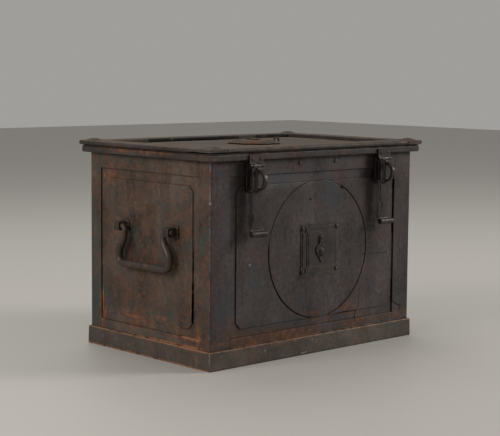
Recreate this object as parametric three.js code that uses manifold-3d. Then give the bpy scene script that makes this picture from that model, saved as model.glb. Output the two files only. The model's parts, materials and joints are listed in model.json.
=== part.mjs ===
// Iron strongbox: a riveted plate chest on a plinth, with a hinged lid, two hasps, two drop handles,
// a dummy front keyhole under a swinging cover, and a lock of four bolts under the lid.
// Millimetres, +Z up. The origin is the middle of the base, and the front faces -Y.
import * as THREE from "three";
import { mergeVertices } from "three/addons/utils/BufferGeometryUtils.js";
import Module from "manifold-3d";

const wasm = await Module();
wasm.setup();

// Chest, over the corner angles
const bodyWidth = 600;
const bodyDepth = 396;
const bodyHeight = 420;
const seat = 0.3; // clearance between pieces that lie on each other
const wallThickness = 3;
const floorThickness = 4;
const strapThickness = 3;
const cornerFrontLeg = 53;
const cornerSideLeg = 36.5;
const cornerRound = 2.5;
const topStripHeight = 31.7;
const bottomStripHeight = 59;
const plinthHeight = 39;
const plinthThickness = 4;
const plinthBevel = 1.6;
const flangeWidth = 15;
const flangeThickness = 3;
const flangeLeg = 13;

// Raised panels of the four sides
const panelThickness = 2.2;
const panelChamfer = 12;
const frontChannel = 18;
const sideChannel = 20.5;
const channelAbove = 20.5;
const channelBelow = 17.5;
const discLap = 0.5; // how far the round plate runs past the panel's top and bottom edges
const discGroove = 2.6;
const discOffset = 8;
const discThickness = 3;
const discBevel = 0.8;

// Rivet heads of the front's top strip
const rivetRadius = 5;
const rivetHeight = 3;
const rivetDrop = 12; // below the chest's top
const rivetShares = [-0.175, 0.18]; // places across the strip, as shares of half the chest's width

// Front escutcheon and its swinging cover
const escutcheonWidth = 102;
const escutcheonHeight = 101;
const escutcheonBaseLap = 4; // how far the thin base runs past the first step
const escutcheonBaseThickness = 0.9;
const escutcheonBaseChamfer = 3;
const escutcheonInsets = [0, 11, 15.5];
const escutcheonSteps = [1.6, 1.2, 1];
const escutcheonHollows = [9, 14, 19]; // radii of the steps' hollow corners, about the corner rivets
const escutcheonRivetInset = [1, 5.5]; // from the first step's side and from its top
const coverThickness = 2.2;
const coverRise = 23;
const coverTop = 7;
const coverWaist = 5.5;
const coverWaistDrop = 11;
const coverBelly = 17;
const coverBellyDrop = 26;
const coverLength = 51;
const coverBossDrop = 29;
const coverBossRadius = 10;
const coverBossHeight = 4;
const studRadius = 2.6;
const studHeadRadius = 5;
const studHeadHeight = 2;
const pivotClearance = 0.4;
const keyholeRadius = 4.5;
const keyholeSlot = 4.4;
const keyholeLength = 14;

// Drop handles
const handleHeight = 271;
const handleForward = 5.5; // how far the handles sit in front of the ends' middle
const handleDrop = 78;
const handleDepthGap = 4.5; // behind the bar
const handleBar = 8.5;
const handlePin = 6; // radius of the bar's ends, which turn outwards through the staples
const handlePinEnd = 94;
// The left half of the handle's line, from the pin's end: distance aside and height, then the bends.
const handleLine = [
  [handlePinEnd, 0],
  [62, 0],
  [65, -24],
  [83, -50],
  [84, -handleDrop],
];
const handleBends = [9, 13, 8, 19];
const handleFullDrop = 50; // the bar has its full thickness from here down
const stapleHalf = 81;
const stapleWidth = 18;
const stapleStrap = 3;
const stapleGap = 0.6; // round the handle's pin
const stapleChamfer = 3;
const staplePlateLength = 28;
const staplePlateHeight = 25;
const staplePlateThickness = 2.5;

// Lid
const bandOverhang = 13.5;
const bandHeight = 13.5;
const bandWidth = 30;
const bandBevel = 1.5;
const lidPlateOverhang = 12.5;
const lidPlateThickness = 2.4;
const rimOverhang = 18.2;
const rimThickness = 9.5;
const rimWidth = 48;
const rimBevel = 2.5;
const cornerBumpHeight = 4.5;
const cornerBumpLength = 44;
const cornerBumpTopShare = 0.25; // of a corner bump's base that is left at its top
const lidChannel = 16;
const lidPanelThickness = 2.2;
const lidPanelChamfer = 10;

// Ornament of the lid's keyhole
const ornamentRadius = 60;
const ornamentLobes = 8;
const ornamentLobeDepth = 5;
const ornamentThickness = 2.5;
const ornamentRingRadius = 46;
const ornamentRingBar = 3;
const ornamentDomeRadius = 38;
const ornamentDomeHeight = 5;
const ornamentFlatRadius = 24;
const lidCoverPivot = 15;
const lidCoverRadius = 8;
const lidCoverLap = 3;
const lidCoverLength = lidCoverPivot + keyholeLength + lidCoverLap;
const lidLoopPlace = 69; // a small loop beside the ornament, right of the middle
const lidLoopHalf = 7;
const lidLoopRise = 10;
const lidLoopBar = 2;
const lidLoopCorner = 4;

// Lid hinges, behind the back wall
const hingeInset = 110; // from the chest's end to the middle of a hinge
const hingeWidth = 60;
const hingeKnuckle = 5.5;
const hingePin = 2.5;
const hingeLeafThickness = 3;
const hingeLeafHeight = 62;
const hingeLidGap = 1.2;
const hingeGap = 0.4;
const lidLeafHeight = 19;

// Hasps, their brackets on the lid, and the plates and noses behind them
const haspInset = 108; // from the chest's end to the middle of a hasp
const haspWidth = 30;
const haspNeck = 22;
const haspThickness = 3;
const haspKnuckle = 4.5;
const haspPin = 2;
const haspAxisDrop = 11; // below the chest's top
const haspAxisGap = 2.5; // outside the lid band's edge
const haspAxisHeight = bodyHeight - haspAxisDrop;
const haspAxisDepth = bandOverhang + haspAxisGap;
const haspShoulderDrop = 5.5;
const haspWaistDrop = 95;
const haspWaistStep = 6;
const haspFlare = 20.5;
const haspFlareDrop = 131;
const haspRollRadius = 6.5;
const bracketWidth = 38;
const bracketHeight = 17;
const bracketThickness = 3;
const bracketGap = 0.5;
const slotWidth = 14;
const slotHeight = 42;
const slotDrop = 29;
const haspPlateThickness = 3;
const haspPlateRise = 4;
const haspPlateLength = 58;
const noseWidth = 9;
const noseHeight = 38;
const noseGap = 1;
const eyeWidth = 9;
const eyeSeatLap = 4;
const eyeBase = 4;
const eyeBar = 7;
const eyeReach = 25;
const eyeHeight = 45;

// Lock under the lid: a cam with four spiral slots drives four bolts outwards
const lockPlateThickness = 5;
const lockArmWidth = 46;
const boltWidth = 24;
const boltThickness = 6;
const boltThrow = 12;
const boltTipGap = 4;
const boltTipBevel = 3;
const boltHeel = 5; // bolt left behind its pin
const boltHeadroom = 1.2;
const boltPinRadius = 3;
const pinPathRadius = 34;
const camTurn = THREE.MathUtils.degToRad(80);
const camRim = 8; // iron left outside the slots
const camThickness = 4;
const camGap = 0.5;
const camHubWall = 4; // iron left round the key's socket
const camCollarLip = 4;
const counterboreDepth = 2.5;
const slotClearance = 0.6;
const slotEndTurn = THREE.MathUtils.degToRad(7);
const guideLength = 14;
const guideWall = 5;
const guideFloor = 3;
const guideInset = 24;

// Modelling values
const overrun = 5; // how far a cutting tool runs past the face it cuts
const mergeDistance = 1e-4;
const circleSides = 32;
const largeCircleSides = 72;
const barSides = 10;
const curveSteps = 6;

// Levels and faces that several pieces share
const halfWidth = bodyWidth / 2;
const halfDepth = bodyDepth / 2;
const hingePlace = halfWidth - hingeInset;
const haspPlace = halfWidth - haspInset;
const wallFace = strapThickness + seat; // from the straps' outer plane back to the wall
const wallX = halfWidth - wallFace;
const wallY = halfDepth - wallFace;
const wallTop = bodyHeight - seat;
const panelBottom = bottomStripHeight + channelBelow;
const panelTop = wallTop - topStripHeight - channelAbove;
const panelMiddle = (panelBottom + panelTop) / 2;
const discRadius = (panelTop - panelBottom) / 2 + discLap;
const panelFace = panelThickness + seat - wallFace;
const discFace = discThickness + seat - wallFace;
const handleAxisDepth = panelFace + seat + staplePlateThickness + handleDepthGap + handleBar;
const bandTop = bodyHeight + bandHeight;
const lidPlateBottom = bandTop + seat;
const lidPlateTop = lidPlateBottom + lidPlateThickness;
const rimBottom = lidPlateTop + seat;
const lidPanelTop = rimBottom + lidPanelThickness;
const ornamentBottom = lidPanelTop + seat;
const flangeBottom = wallTop - flangeThickness;
const boltTop = flangeBottom - boltHeadroom;
const boltBottom = boltTop - boltThickness;
const camBottom = boltTop + camGap;
const camTop = camBottom + camThickness;
const camHubRadius = keyholeLength + camHubWall;
const camRadius = pinPathRadius + boltThrow + boltPinRadius + slotClearance + camRim;
const boltInnerRadius = pinPathRadius - boltPinRadius - boltHeel;
const lockCentreRadius = camRadius + guideLength;
const lockPlateBottom = bandTop - lockPlateThickness;
const counterboreFloor = bandTop - counterboreDepth;

const looks = {
  front: new THREE.MeshStandardMaterial({ color: 0x3b3837, roughness: 0.6, metalness: 0.7 }),
  side: new THREE.MeshStandardMaterial({ color: 0x47392f, roughness: 0.7, metalness: 0.5 }),
  plinth: new THREE.MeshStandardMaterial({ color: 0x4a3d34, roughness: 0.75, metalness: 0.5 }),
  lid: new THREE.MeshStandardMaterial({ color: 0x423c3a, roughness: 0.6, metalness: 0.7 }),
  fittings: new THREE.MeshStandardMaterial({ color: 0x222120, roughness: 0.4, metalness: 0.85 }),
  inside: new THREE.MeshStandardMaterial({ color: 0x3a2f29, roughness: 0.8, metalness: 0.4 }),
};

const strongbox = new THREE.Group();

// Turns a closed geometry into a solid that can be joined and cut.
function solidOf(geometry) {
  const bare = geometry.index ? geometry.toNonIndexed() : geometry.clone();
  for (const name of Object.keys(bare.attributes)) {
    if (name !== "position") bare.deleteAttribute(name);
  }
  const merged = mergeVertices(bare, mergeDistance);
  const corners = merged.index.array;
  const kept = [];
  for (let i = 0; i < corners.length; i += 3) {
    const [a, b, c] = [corners[i], corners[i + 1], corners[i + 2]];
    if (a !== b && b !== c && c !== a) kept.push(a, b, c); // a revolve collapses triangles on its axis
  }
  return new wasm.Manifold(
    new wasm.Mesh({
      numProp: 3,
      vertProperties: merged.attributes.position.array,
      triVerts: new Uint32Array(kept),
    }),
  );
}

function geometryOf(solid) {
  const mesh = solid.getMesh();
  const geometry = new THREE.BufferGeometry();
  const places = new Float32Array(mesh.vertProperties);
  geometry.setAttribute("position", new THREE.BufferAttribute(places, 3));
  geometry.setIndex(new THREE.BufferAttribute(new Uint32Array(mesh.triVerts), 1));
  geometry.computeVertexNormals();
  return geometry;
}

function join(first, ...others) {
  return geometryOf(others.reduce((whole, piece) => whole.add(solidOf(piece)), solidOf(first)));
}

function cut(body, ...tools) {
  return geometryOf(tools.reduce((whole, tool) => whole.subtract(solidOf(tool)), solidOf(body)));
}

function keep(body, region) {
  return geometryOf(solidOf(body).intersect(solidOf(region)));
}

function block(x0, x1, y0, y1, z0, z1) {
  const box = new THREE.BoxGeometry(x1 - x0, y1 - y0, z1 - z0);
  return box.translate((x0 + x1) / 2, (y0 + y1) / 2, (z0 + z1) / 2);
}

// Extrudes an outline in XY from z = low by the given thickness.
function slab(outline, low, thickness) {
  const shape = outline instanceof THREE.Shape ? outline : new THREE.Shape(outline);
  const options = { depth: thickness, bevelEnabled: false, curveSegments: curveSteps };
  return new THREE.ExtrudeGeometry(shape, options).translate(0, 0, low);
}

// A disc or rod along Z, standing on z = low.
function discAt(radius, x, y, low, height, sides = circleSides) {
  const rod = new THREE.CylinderGeometry(radius, radius, height, sides).rotateX(Math.PI / 2);
  return rod.translate(x, y, low + height / 2);
}

// A rod along X, centred on the given point.
function rodAlongX(radius, length, x, y, z, sides = circleSides / 2) {
  const rod = new THREE.CylinderGeometry(radius, radius, length, sides).rotateZ(Math.PI / 2);
  return rod.translate(x, y, z);
}

function chamferedOutline(halfX, halfY, chamfer) {
  const places = [];
  for (const [sx, sy, first] of [[1, 1, 0], [-1, 1, 1], [-1, -1, 0], [1, -1, 1]]) {
    const onSide = new THREE.Vector2(sx * halfX, sy * (halfY - chamfer));
    const onEnd = new THREE.Vector2(sx * (halfX - chamfer), sy * halfY);
    places.push(...(first ? [onEnd, onSide] : [onSide, onEnd]));
  }
  return places;
}

// A path of straight runs whose inner corners are rounded, each by its own bend.
function roundedPath(places, bends) {
  const path = new THREE.CurvePath();
  let from = places[0];
  for (let i = 1; i < places.length - 1; i++) {
    const corner = places[i];
    const bend = bends[i - 1];
    const back = places[i - 1].clone().sub(corner).setLength(bend).add(corner);
    const ahead = places[i + 1].clone().sub(corner).setLength(bend).add(corner);
    path.add(new THREE.LineCurve3(from, back));
    path.add(new THREE.QuadraticBezierCurve3(back, corner, ahead));
    from = ahead;
  }
  path.add(new THREE.LineCurve3(from, places[places.length - 1]));
  return path;
}

function barAlong(path, radius, steps) {
  const section = new THREE.Shape();
  section.absarc(0, 0, radius, 0, 2 * Math.PI);
  const options = { steps, bevelEnabled: false, extrudePath: path, curveSegments: barSides / 2 };
  return new THREE.ExtrudeGeometry(section, options);
}

// A round bar along a path, with its own radius at each place.
function taperedBar(path, radiusAt, steps, sides) {
  const frames = path.computeFrenetFrames(steps, false);
  const places = [];
  const faces = [];
  for (let i = 0; i <= steps; i++) {
    const centre = path.getPointAt(i / steps);
    const radius = radiusAt(centre);
    for (let j = 0; j < sides; j++) {
      const turn = (2 * Math.PI * j) / sides;
      const place = centre.clone();
      place.addScaledVector(frames.normals[i], radius * Math.cos(turn));
      place.addScaledVector(frames.binormals[i], radius * Math.sin(turn));
      places.push(...place.toArray());
    }
  }
  for (let i = 0; i < steps; i++) {
    for (let j = 0; j < sides; j++) {
      const k = (j + 1) % sides;
      const [a, b, c, d] = [i * sides + j, i * sides + k, (i + 1) * sides + k, (i + 1) * sides + j];
      faces.push(a, b, c, a, c, d);
    }
  }
  const last = steps * sides;
  for (let j = 1; j < sides - 1; j++) faces.push(0, j + 1, j, last, last + j, last + j + 1);
  const geometry = new THREE.BufferGeometry();
  geometry.setAttribute("position", new THREE.Float32BufferAttribute(places, 3));
  geometry.setIndex(faces);
  return geometryOf(solidOf(geometry));
}

// A bar that runs round a rectangle, mitred at its corners. The profile's points are
// (distance outwards from the rectangle, height), in a closed counter-clockwise loop.
function mitredFrame(halfX, halfY, profile) {
  const corners = [[1, 1], [-1, 1], [-1, -1], [1, -1]];
  const places = [];
  for (const [sx, sy] of corners) {
    for (const [out, height] of profile) places.push(sx * (halfX + out), sy * (halfY + out), height);
  }
  const faces = [];
  const count = profile.length;
  for (let c = 0; c < corners.length; c++) {
    const next = (c + 1) % corners.length;
    for (let p = 0; p < count; p++) {
      const q = (p + 1) % count;
      const [a, b, d, e] = [c * count + p, c * count + q, next * count + p, next * count + q];
      faces.push(a, e, b, a, d, e);
    }
  }
  const geometry = new THREE.BufferGeometry();
  geometry.setAttribute("position", new THREE.Float32BufferAttribute(places, 3));
  geometry.setIndex(faces);
  return geometryOf(solidOf(geometry));
}

// Revolves a profile of (radius, height), listed upwards from the axis, about Z.
function revolve(profile, sides) {
  const points = profile.map(([radius, height]) => new THREE.Vector2(radius, height));
  return geometryOf(solidOf(new THREE.LatheGeometry(points, sides).rotateX(Math.PI / 2)));
}

function add(group, name, geometry, look) {
  const mesh = new THREE.Mesh(geometry, look);
  mesh.name = name;
  group.add(mesh);
}

// Each side of the chest has a frame: x to the viewer's right, y up, z outwards from the straps' plane.
const sides = {
  front: { right: [1, 0, 0], out: [0, -1, 0], half: halfWidth, reach: halfDepth, leg: cornerFrontLeg },
  back: { right: [-1, 0, 0], out: [0, 1, 0], half: halfWidth, reach: halfDepth, leg: cornerFrontLeg },
  left: { right: [0, -1, 0], out: [-1, 0, 0], half: halfDepth, reach: halfWidth, leg: cornerSideLeg },
  right: { right: [0, 1, 0], out: [1, 0, 0], half: halfDepth, reach: halfWidth, leg: cornerSideLeg },
};
for (const side of Object.values(sides)) {
  const out = new THREE.Vector3(...side.out);
  const frame = new THREE.Matrix4();
  frame.makeBasis(new THREE.Vector3(...side.right), new THREE.Vector3(0, 0, 1), out);
  side.group = new THREE.Group();
  side.group.setRotationFromMatrix(frame);
  side.group.position.copy(out).multiplyScalar(side.reach);
  strongbox.add(side.group);
}

function addWalls() {
  const sideY = wallY - wallThickness - seat;
  const floorX = wallX - wallThickness - seat;
  add(strongbox, "floor_plate", block(-floorX, floorX, -sideY, sideY, 0, floorThickness), looks.inside);
  const broad = (y0, y1) => block(-wallX, wallX, y0, y1, 0, wallTop);
  add(strongbox, "front_wall", broad(-wallY, wallThickness - wallY), looks.front);
  add(strongbox, "back_wall", broad(wallY - wallThickness, wallY), looks.front);
  const narrow = (x0, x1) => block(x0, x1, -sideY, sideY, 0, wallTop);
  add(strongbox, "left_wall", narrow(-wallX, wallThickness - wallX), looks.side);
  add(strongbox, "right_wall", narrow(wallX - wallThickness, wallX), looks.side);
}

// An L-shaped angle with a rounded heel stands at each corner, outside the walls.
function addCornerAngles() {
  const heel = new THREE.Path();
  heel.absarc(halfWidth - cornerRound, halfDepth - cornerRound, cornerRound, 0, Math.PI / 2);
  const outline = [
    ...heel.getPoints(curveSteps),
    new THREE.Vector2(halfWidth - cornerFrontLeg, halfDepth),
    new THREE.Vector2(halfWidth - cornerFrontLeg, halfDepth - strapThickness),
    new THREE.Vector2(halfWidth - strapThickness, halfDepth - strapThickness),
    new THREE.Vector2(halfWidth - strapThickness, halfDepth - cornerSideLeg),
    new THREE.Vector2(halfWidth, halfDepth - cornerSideLeg),
  ];
  for (const [end, sy] of [["front", -1], ["back", 1]]) {
    for (const [hand, sx] of [["left", -1], ["right", 1]]) {
      const places = outline.map((p) => new THREE.Vector2(sx * p.x, sy * p.y));
      add(strongbox, `corner_angle_${end}_${hand}`, slab(places, 0, wallTop), looks.side);
    }
  }
}

function rivetHead(x, y) {
  const root = -strapThickness / 2;
  const profile = [[0, root], [rivetRadius, root]];
  for (let i = 0; i < curveSteps; i++) {
    const turn = (i / curveSteps) * (Math.PI / 2);
    profile.push([rivetRadius * Math.cos(turn), rivetHeight * Math.sin(turn)]);
  }
  profile.push([0, rivetHeight]);
  return revolve(profile, circleSides / 2).translate(x, y, 0);
}

// The strips close the side between the two corner angles, at the top and above the plinth.
function addStrips() {
  for (const [name, side] of Object.entries(sides)) {
    const half = side.half - side.leg - seat;
    const look = side.leg === cornerSideLeg ? looks.side : looks.front;
    let top = block(-half, half, wallTop - topStripHeight, wallTop, -strapThickness, 0);
    if (name === "front") {
      const heads = rivetShares.map((share) => rivetHead(share * halfWidth, bodyHeight - rivetDrop));
      top = join(top, ...heads);
    }
    add(side.group, `top_strip_${name}`, top, look);
    const bottom = block(-half, half, 0, bottomStripHeight, -strapThickness, 0);
    add(side.group, `bottom_strip_${name}`, bottom, look);
  }
}

function addPlinth() {
  const profile = [
    [0, 0],
    [plinthThickness, 0],
    [plinthThickness, plinthHeight - plinthBevel],
    [plinthThickness - plinthBevel, plinthHeight],
    [0, plinthHeight],
  ];
  add(strongbox, "plinth_band", mitredFrame(halfWidth + seat, halfDepth + seat, profile), looks.plinth);
}

// An angle round the inside of the mouth. The lid's bolts catch under its flat leg.
function addMouthFlange() {
  const profile = [
    [-flangeWidth, flangeBottom],
    [-flangeThickness, flangeBottom],
    [-flangeThickness, wallTop - flangeLeg],
    [0, wallTop - flangeLeg],
    [0, wallTop],
    [-flangeWidth, wallTop],
  ];
  const inset = wallThickness + seat;
  add(strongbox, "mouth_flange", mitredFrame(wallX - inset, wallY - inset, profile), looks.inside);
}

function panelPlate(half, chamfer) {
  const outline = chamferedOutline(half, (panelTop - panelBottom) / 2, chamfer);
  return slab(outline, seat - wallFace, panelThickness).translate(0, panelMiddle, 0);
}

// The front panel is in two plates with the round plate let in between them.
function addPanels() {
  const broad = halfWidth - cornerFrontLeg - frontChannel;
  const narrow = halfDepth - cornerSideLeg - sideChannel;
  const opening = discAt(
    discRadius + discGroove, discOffset, panelMiddle, -wallFace - overrun, wallFace + 2 * overrun,
    largeCircleSides,
  );
  const plate = cut(panelPlate(broad, panelChamfer), opening);
  const split = seat / 2;
  const half = (x0, x1) => block(x0, x1, 0, bodyHeight, -wallFace - overrun, overrun);
  const leftHalf = keep(plate, half(-halfWidth, discOffset - split));
  const rightHalf = keep(plate, half(discOffset + split, halfWidth));
  add(sides.front.group, "front_panel_left", leftHalf, looks.front);
  add(sides.front.group, "front_panel_right", rightHalf, looks.front);
  add(sides.back.group, "back_panel", panelPlate(broad, panelChamfer), looks.front);
  add(sides.left.group, "side_panel_left", panelPlate(narrow, panelChamfer), looks.side);
  add(sides.right.group, "side_panel_right", panelPlate(narrow, panelChamfer), looks.side);
  const profile = [
    [0, 0],
    [discRadius, 0],
    [discRadius, discThickness - discBevel],
    [discRadius - discBevel, discThickness],
    [0, discThickness],
  ];
  const disc = revolve(profile, largeCircleSides);
  add(sides.front.group, "front_disc", disc.translate(discOffset, panelMiddle, seat - wallFace), looks.front);
}

// A round hole with a slot below it, as a tool that cuts from z = low.
function keyholeTool(x, y, low, height) {
  const slot = block(
    x - keyholeSlot / 2, x + keyholeSlot / 2, y - keyholeLength, y, low, low + height,
  );
  return join(discAt(keyholeRadius, x, y, low, height, circleSides / 2), slot);
}

// The pieces of a riveted stud that a keyhole cover turns on. It stands on z = low.
function coverStud(x, y, low) {
  const neckTop = low + 2 * seat + coverThickness;
  const neck = discAt(studRadius, x, y, low - seat, neckTop - low + seat, circleSides / 2);
  return [neck, discAt(studHeadRadius, x, y, neckTop, studHeadHeight, circleSides / 2)];
}

function coverBore(low) {
  const height = coverThickness + 2 * overrun;
  return discAt(studRadius + pivotClearance, 0, 0, low - overrun, height, circleSides / 2);
}

// A thin base carries three steps, whose corners are hollowed round the rivets in the base's corners.
function escutcheonPlate(bottom) {
  const [halfX, halfY] = [escutcheonWidth / 2, escutcheonHeight / 2];
  const [insetX, insetY] = escutcheonRivetInset;
  const lap = escutcheonBaseLap;
  const outline = chamferedOutline(halfX + lap, halfY + lap, escutcheonBaseChamfer);
  const root = bottom + escutcheonBaseThickness / 2; // each step is rooted in the base
  let plate = slab(outline, bottom, escutcheonBaseThickness);
  let top = bottom + escutcheonBaseThickness;
  escutcheonSteps.forEach((step, i) => {
    top += step;
    const [x, y] = [halfX - escutcheonInsets[i], halfY - escutcheonInsets[i]];
    const hollows = [[1, 1], [-1, 1], [-1, -1], [1, -1]].map(([sx, sy]) =>
      discAt(
        escutcheonHollows[i], sx * (halfX - insetX), sy * (halfY - insetY), root - overrun,
        top - root + 2 * overrun,
      ),
    );
    plate = join(plate, cut(block(-x, x, -y, y, root, top), ...hollows));
  });
  return [plate.translate(discOffset, panelMiddle, 0), top];
}

// The front keyhole is a dummy: it ends on the round plate.
function addFrontEscutcheon() {
  const x = discOffset;
  const [solid, low] = escutcheonPlate(discFace + seat);
  const pivotY = panelMiddle + coverRise;
  const bossY = pivotY - coverBossDrop + keyholeLength / 4;
  const plate = cut(solid, keyholeTool(x, bossY, discFace - overrun, 2 * overrun + low - discFace));
  const coverLow = low + seat;
  add(sides.front.group, "front_escutcheon", join(plate, ...coverStud(x, pivotY, low)), looks.fittings);

  const cover = new THREE.Shape();
  cover.moveTo(0, coverTop);
  cover.quadraticCurveTo(coverTop, coverTop, coverTop, 0);
  cover.quadraticCurveTo(coverWaist, -coverWaistDrop / 2, coverWaist, -coverWaistDrop);
  cover.quadraticCurveTo(coverBelly, -coverWaistDrop - coverWaist, coverBelly, -coverBellyDrop);
  cover.quadraticCurveTo(coverBelly / 2, -coverBellyDrop - coverBossRadius, 0, -coverLength);
  cover.quadraticCurveTo(-coverBelly / 2, -coverBellyDrop - coverBossRadius, -coverBelly, -coverBellyDrop);
  cover.quadraticCurveTo(-coverBelly, -coverWaistDrop - coverWaist, -coverWaist, -coverWaistDrop);
  cover.quadraticCurveTo(-coverWaist, -coverWaistDrop / 2, -coverTop, 0);
  cover.quadraticCurveTo(-coverTop, coverTop, 0, coverTop);
  const sheet = slab(cover, coverLow, coverThickness);
  const boss = new THREE.CylinderGeometry(
    coverBossRadius / 2, coverBossRadius, coverBossHeight, circleSides / 2,
  );
  const bossMiddle = coverLow + coverThickness + coverBossHeight / 2 - seat;
  boss.rotateX(Math.PI / 2).translate(0, -coverBossDrop, bossMiddle);
  const piece = cut(join(sheet, boss), coverBore(coverLow)).translate(x, pivotY, 0);
  add(sides.front.group, "front_keyhole_cover", piece, looks.fittings);
}

// The section of a staple's strap, seen along the wall: x is the reach outwards.
function stapleSection(low, half, chamfer) {
  const top = handleAxisDepth + half;
  const places = [
    [low, -half],
    [top - chamfer, -half],
    [top, chamfer - half],
    [top, half - chamfer],
    [top - chamfer, half],
    [low, half],
  ];
  return places.map(([x, y]) => new THREE.Vector2(x, y));
}

// A strap bent square round the handle's pin, on a small plate.
function handleStaple(x) {
  const plateLow = panelFace + seat;
  const plateHigh = plateLow + staplePlateThickness;
  const outline = chamferedOutline(staplePlateLength / 2, staplePlateHeight / 2, stapleChamfer);
  const plate = slab(outline, plateLow, staplePlateThickness);
  const root = plateHigh - staplePlateThickness / 2;
  const inner = handlePin + stapleGap;
  const outside = stapleSection(root, inner + stapleStrap, stapleChamfer);
  const inside = stapleSection(plateHigh, inner, stapleChamfer / 2);
  const strap = cut(
    slab(outside, -stapleWidth / 2, stapleWidth), slab(inside, -stapleWidth, 2 * stapleWidth),
  );
  return join(plate, strap.rotateY(-Math.PI / 2)).translate(x, handleHeight, 0);
}

// The handle's ends turn outwards through the staples, and its arms swell on the way down.
function bail() {
  const left = handleLine.map(([aside, height]) => new THREE.Vector3(-aside, height, 0));
  const right = handleLine.map(([aside, height]) => new THREE.Vector3(aside, height, 0));
  const path = roundedPath([...left, ...right.reverse()], [...handleBends, ...[...handleBends].reverse()]);
  const radiusAt = (place) => {
    const share = Math.min(1, -place.y / handleFullDrop);
    return THREE.MathUtils.lerp(handlePin, handleBar, share);
  };
  return taperedBar(path, radiusAt, 13 * curveSteps, barSides).translate(0, handleHeight, handleAxisDepth);
}

function addHandles() {
  for (const hand of ["left", "right"]) {
    const group = sides[hand].group;
    // The viewer's right is the front end on the left side, and the back end on the right side.
    const frontSign = hand === "left" ? 1 : -1;
    const middle = frontSign * handleForward;
    const aside = frontSign * stapleHalf;
    add(group, `handle_staple_${hand}_front`, handleStaple(middle + aside), looks.fittings);
    add(group, `handle_staple_${hand}_back`, handleStaple(middle - aside), looks.fittings);
    add(group, `handle_${hand}`, bail().translate(middle, 0, 0), looks.fittings);
  }
}

function bandProfile(width, low, height, bevel) {
  return [
    [-width, low],
    [-bevel, low],
    [0, low + bevel],
    [0, low + height - bevel],
    [-bevel, low + height],
    [-width, low + height],
  ];
}

// A rim strip lies along X. Its outer edge, at y = -reach, is bevelled.
function rimStrip(halfLength, reach) {
  const outline = [
    [rimWidth - reach, rimBottom],
    [rimBevel - reach, rimBottom],
    [-reach, rimBottom + rimBevel],
    [-reach, rimBottom + rimThickness - rimBevel],
    [rimBevel - reach, rimBottom + rimThickness],
    [rimWidth - reach, rimBottom + rimThickness],
  ].map(([y, z]) => new THREE.Vector2(y, z));
  const strip = slab(outline, -halfLength, 2 * halfLength);
  // Outline x becomes world y, outline y becomes world z, and the extrusion runs along world x.
  const turn = new THREE.Matrix4();
  turn.makeBasis(new THREE.Vector3(0, 1, 0), new THREE.Vector3(0, 0, 1), new THREE.Vector3(1, 0, 0));
  return strip.applyMatrix4(turn);
}

function keyholeThrough(body, low, high) {
  return cut(body, keyholeTool(0, 0, low - overrun, high - low + 2 * overrun));
}

// A small loop of round bar stands on the sunk panel, beside the ornament.
function lidLoop() {
  const foot = lidPanelTop - lidPanelThickness / 2;
  const top = lidPanelTop + lidLoopRise;
  const path = roundedPath(
    [
      new THREE.Vector3(lidLoopPlace - lidLoopHalf, 0, foot),
      new THREE.Vector3(lidLoopPlace - lidLoopHalf, 0, top),
      new THREE.Vector3(lidLoopPlace + lidLoopHalf, 0, top),
      new THREE.Vector3(lidLoopPlace + lidLoopHalf, 0, foot),
    ],
    [lidLoopCorner, lidLoopCorner],
  );
  return barAlong(path, lidLoopBar, 4 * curveSteps);
}

// A low pyramid on a rim strip's end, centred at x. The strip's outer edge is at y = -reach.
function cornerBump(x, reach) {
  const low = rimBottom + rimThickness / 2;
  const height = rimThickness / 2 + cornerBumpHeight;
  const acrossX = (cornerBumpLength - rimBevel) / Math.SQRT2;
  const acrossY = (rimWidth - 2 * rimBevel) / Math.SQRT2;
  const peak = new THREE.CylinderGeometry(cornerBumpTopShare, 1, 1, 4);
  peak.rotateY(Math.PI / 4).rotateX(Math.PI / 2).scale(acrossX, acrossY, height);
  return peak.translate(x, rimWidth / 2 - reach, low + height / 2);
}

function addLid() {
  const profile = bandProfile(bandWidth, bodyHeight, bandHeight, bandBevel);
  const band = mitredFrame(halfWidth + bandOverhang, halfDepth + bandOverhang, profile);
  add(strongbox, "lid_band", band, looks.lid);
  const plateX = halfWidth + lidPlateOverhang;
  const plateY = halfDepth + lidPlateOverhang;
  const plate = block(-plateX, plateX, -plateY, plateY, lidPlateBottom, lidPlateTop);
  add(strongbox, "lid_plate", keyholeThrough(plate, lidPlateBottom, lidPlateTop), looks.lid);

  const rimX = halfWidth + rimOverhang;
  const rimY = halfDepth + rimOverhang;
  const frontHalf = rimX - rimWidth - seat;
  add(strongbox, "lid_rim_front", rimStrip(frontHalf, rimY), looks.lid);
  add(strongbox, "lid_rim_back", rimStrip(frontHalf, rimY).rotateZ(Math.PI), looks.lid);
  const ends = [-1, 1].map((sx) => cornerBump(sx * (rimY - (cornerBumpLength + rimBevel) / 2), rimX));
  const endStrip = join(rimStrip(rimY, rimX), ...ends);
  add(strongbox, "lid_rim_left", endStrip.clone().rotateZ(-Math.PI / 2), looks.lid);
  add(strongbox, "lid_rim_right", endStrip.clone().rotateZ(Math.PI / 2), looks.lid);

  const inset = rimWidth + lidChannel;
  const outline = chamferedOutline(rimX - inset, rimY - inset, lidPanelChamfer);
  const panel = join(slab(outline, rimBottom, lidPanelThickness), lidLoop());
  add(strongbox, "lid_panel", keyholeThrough(panel, rimBottom, lidPanelTop), looks.lid);
}

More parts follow.
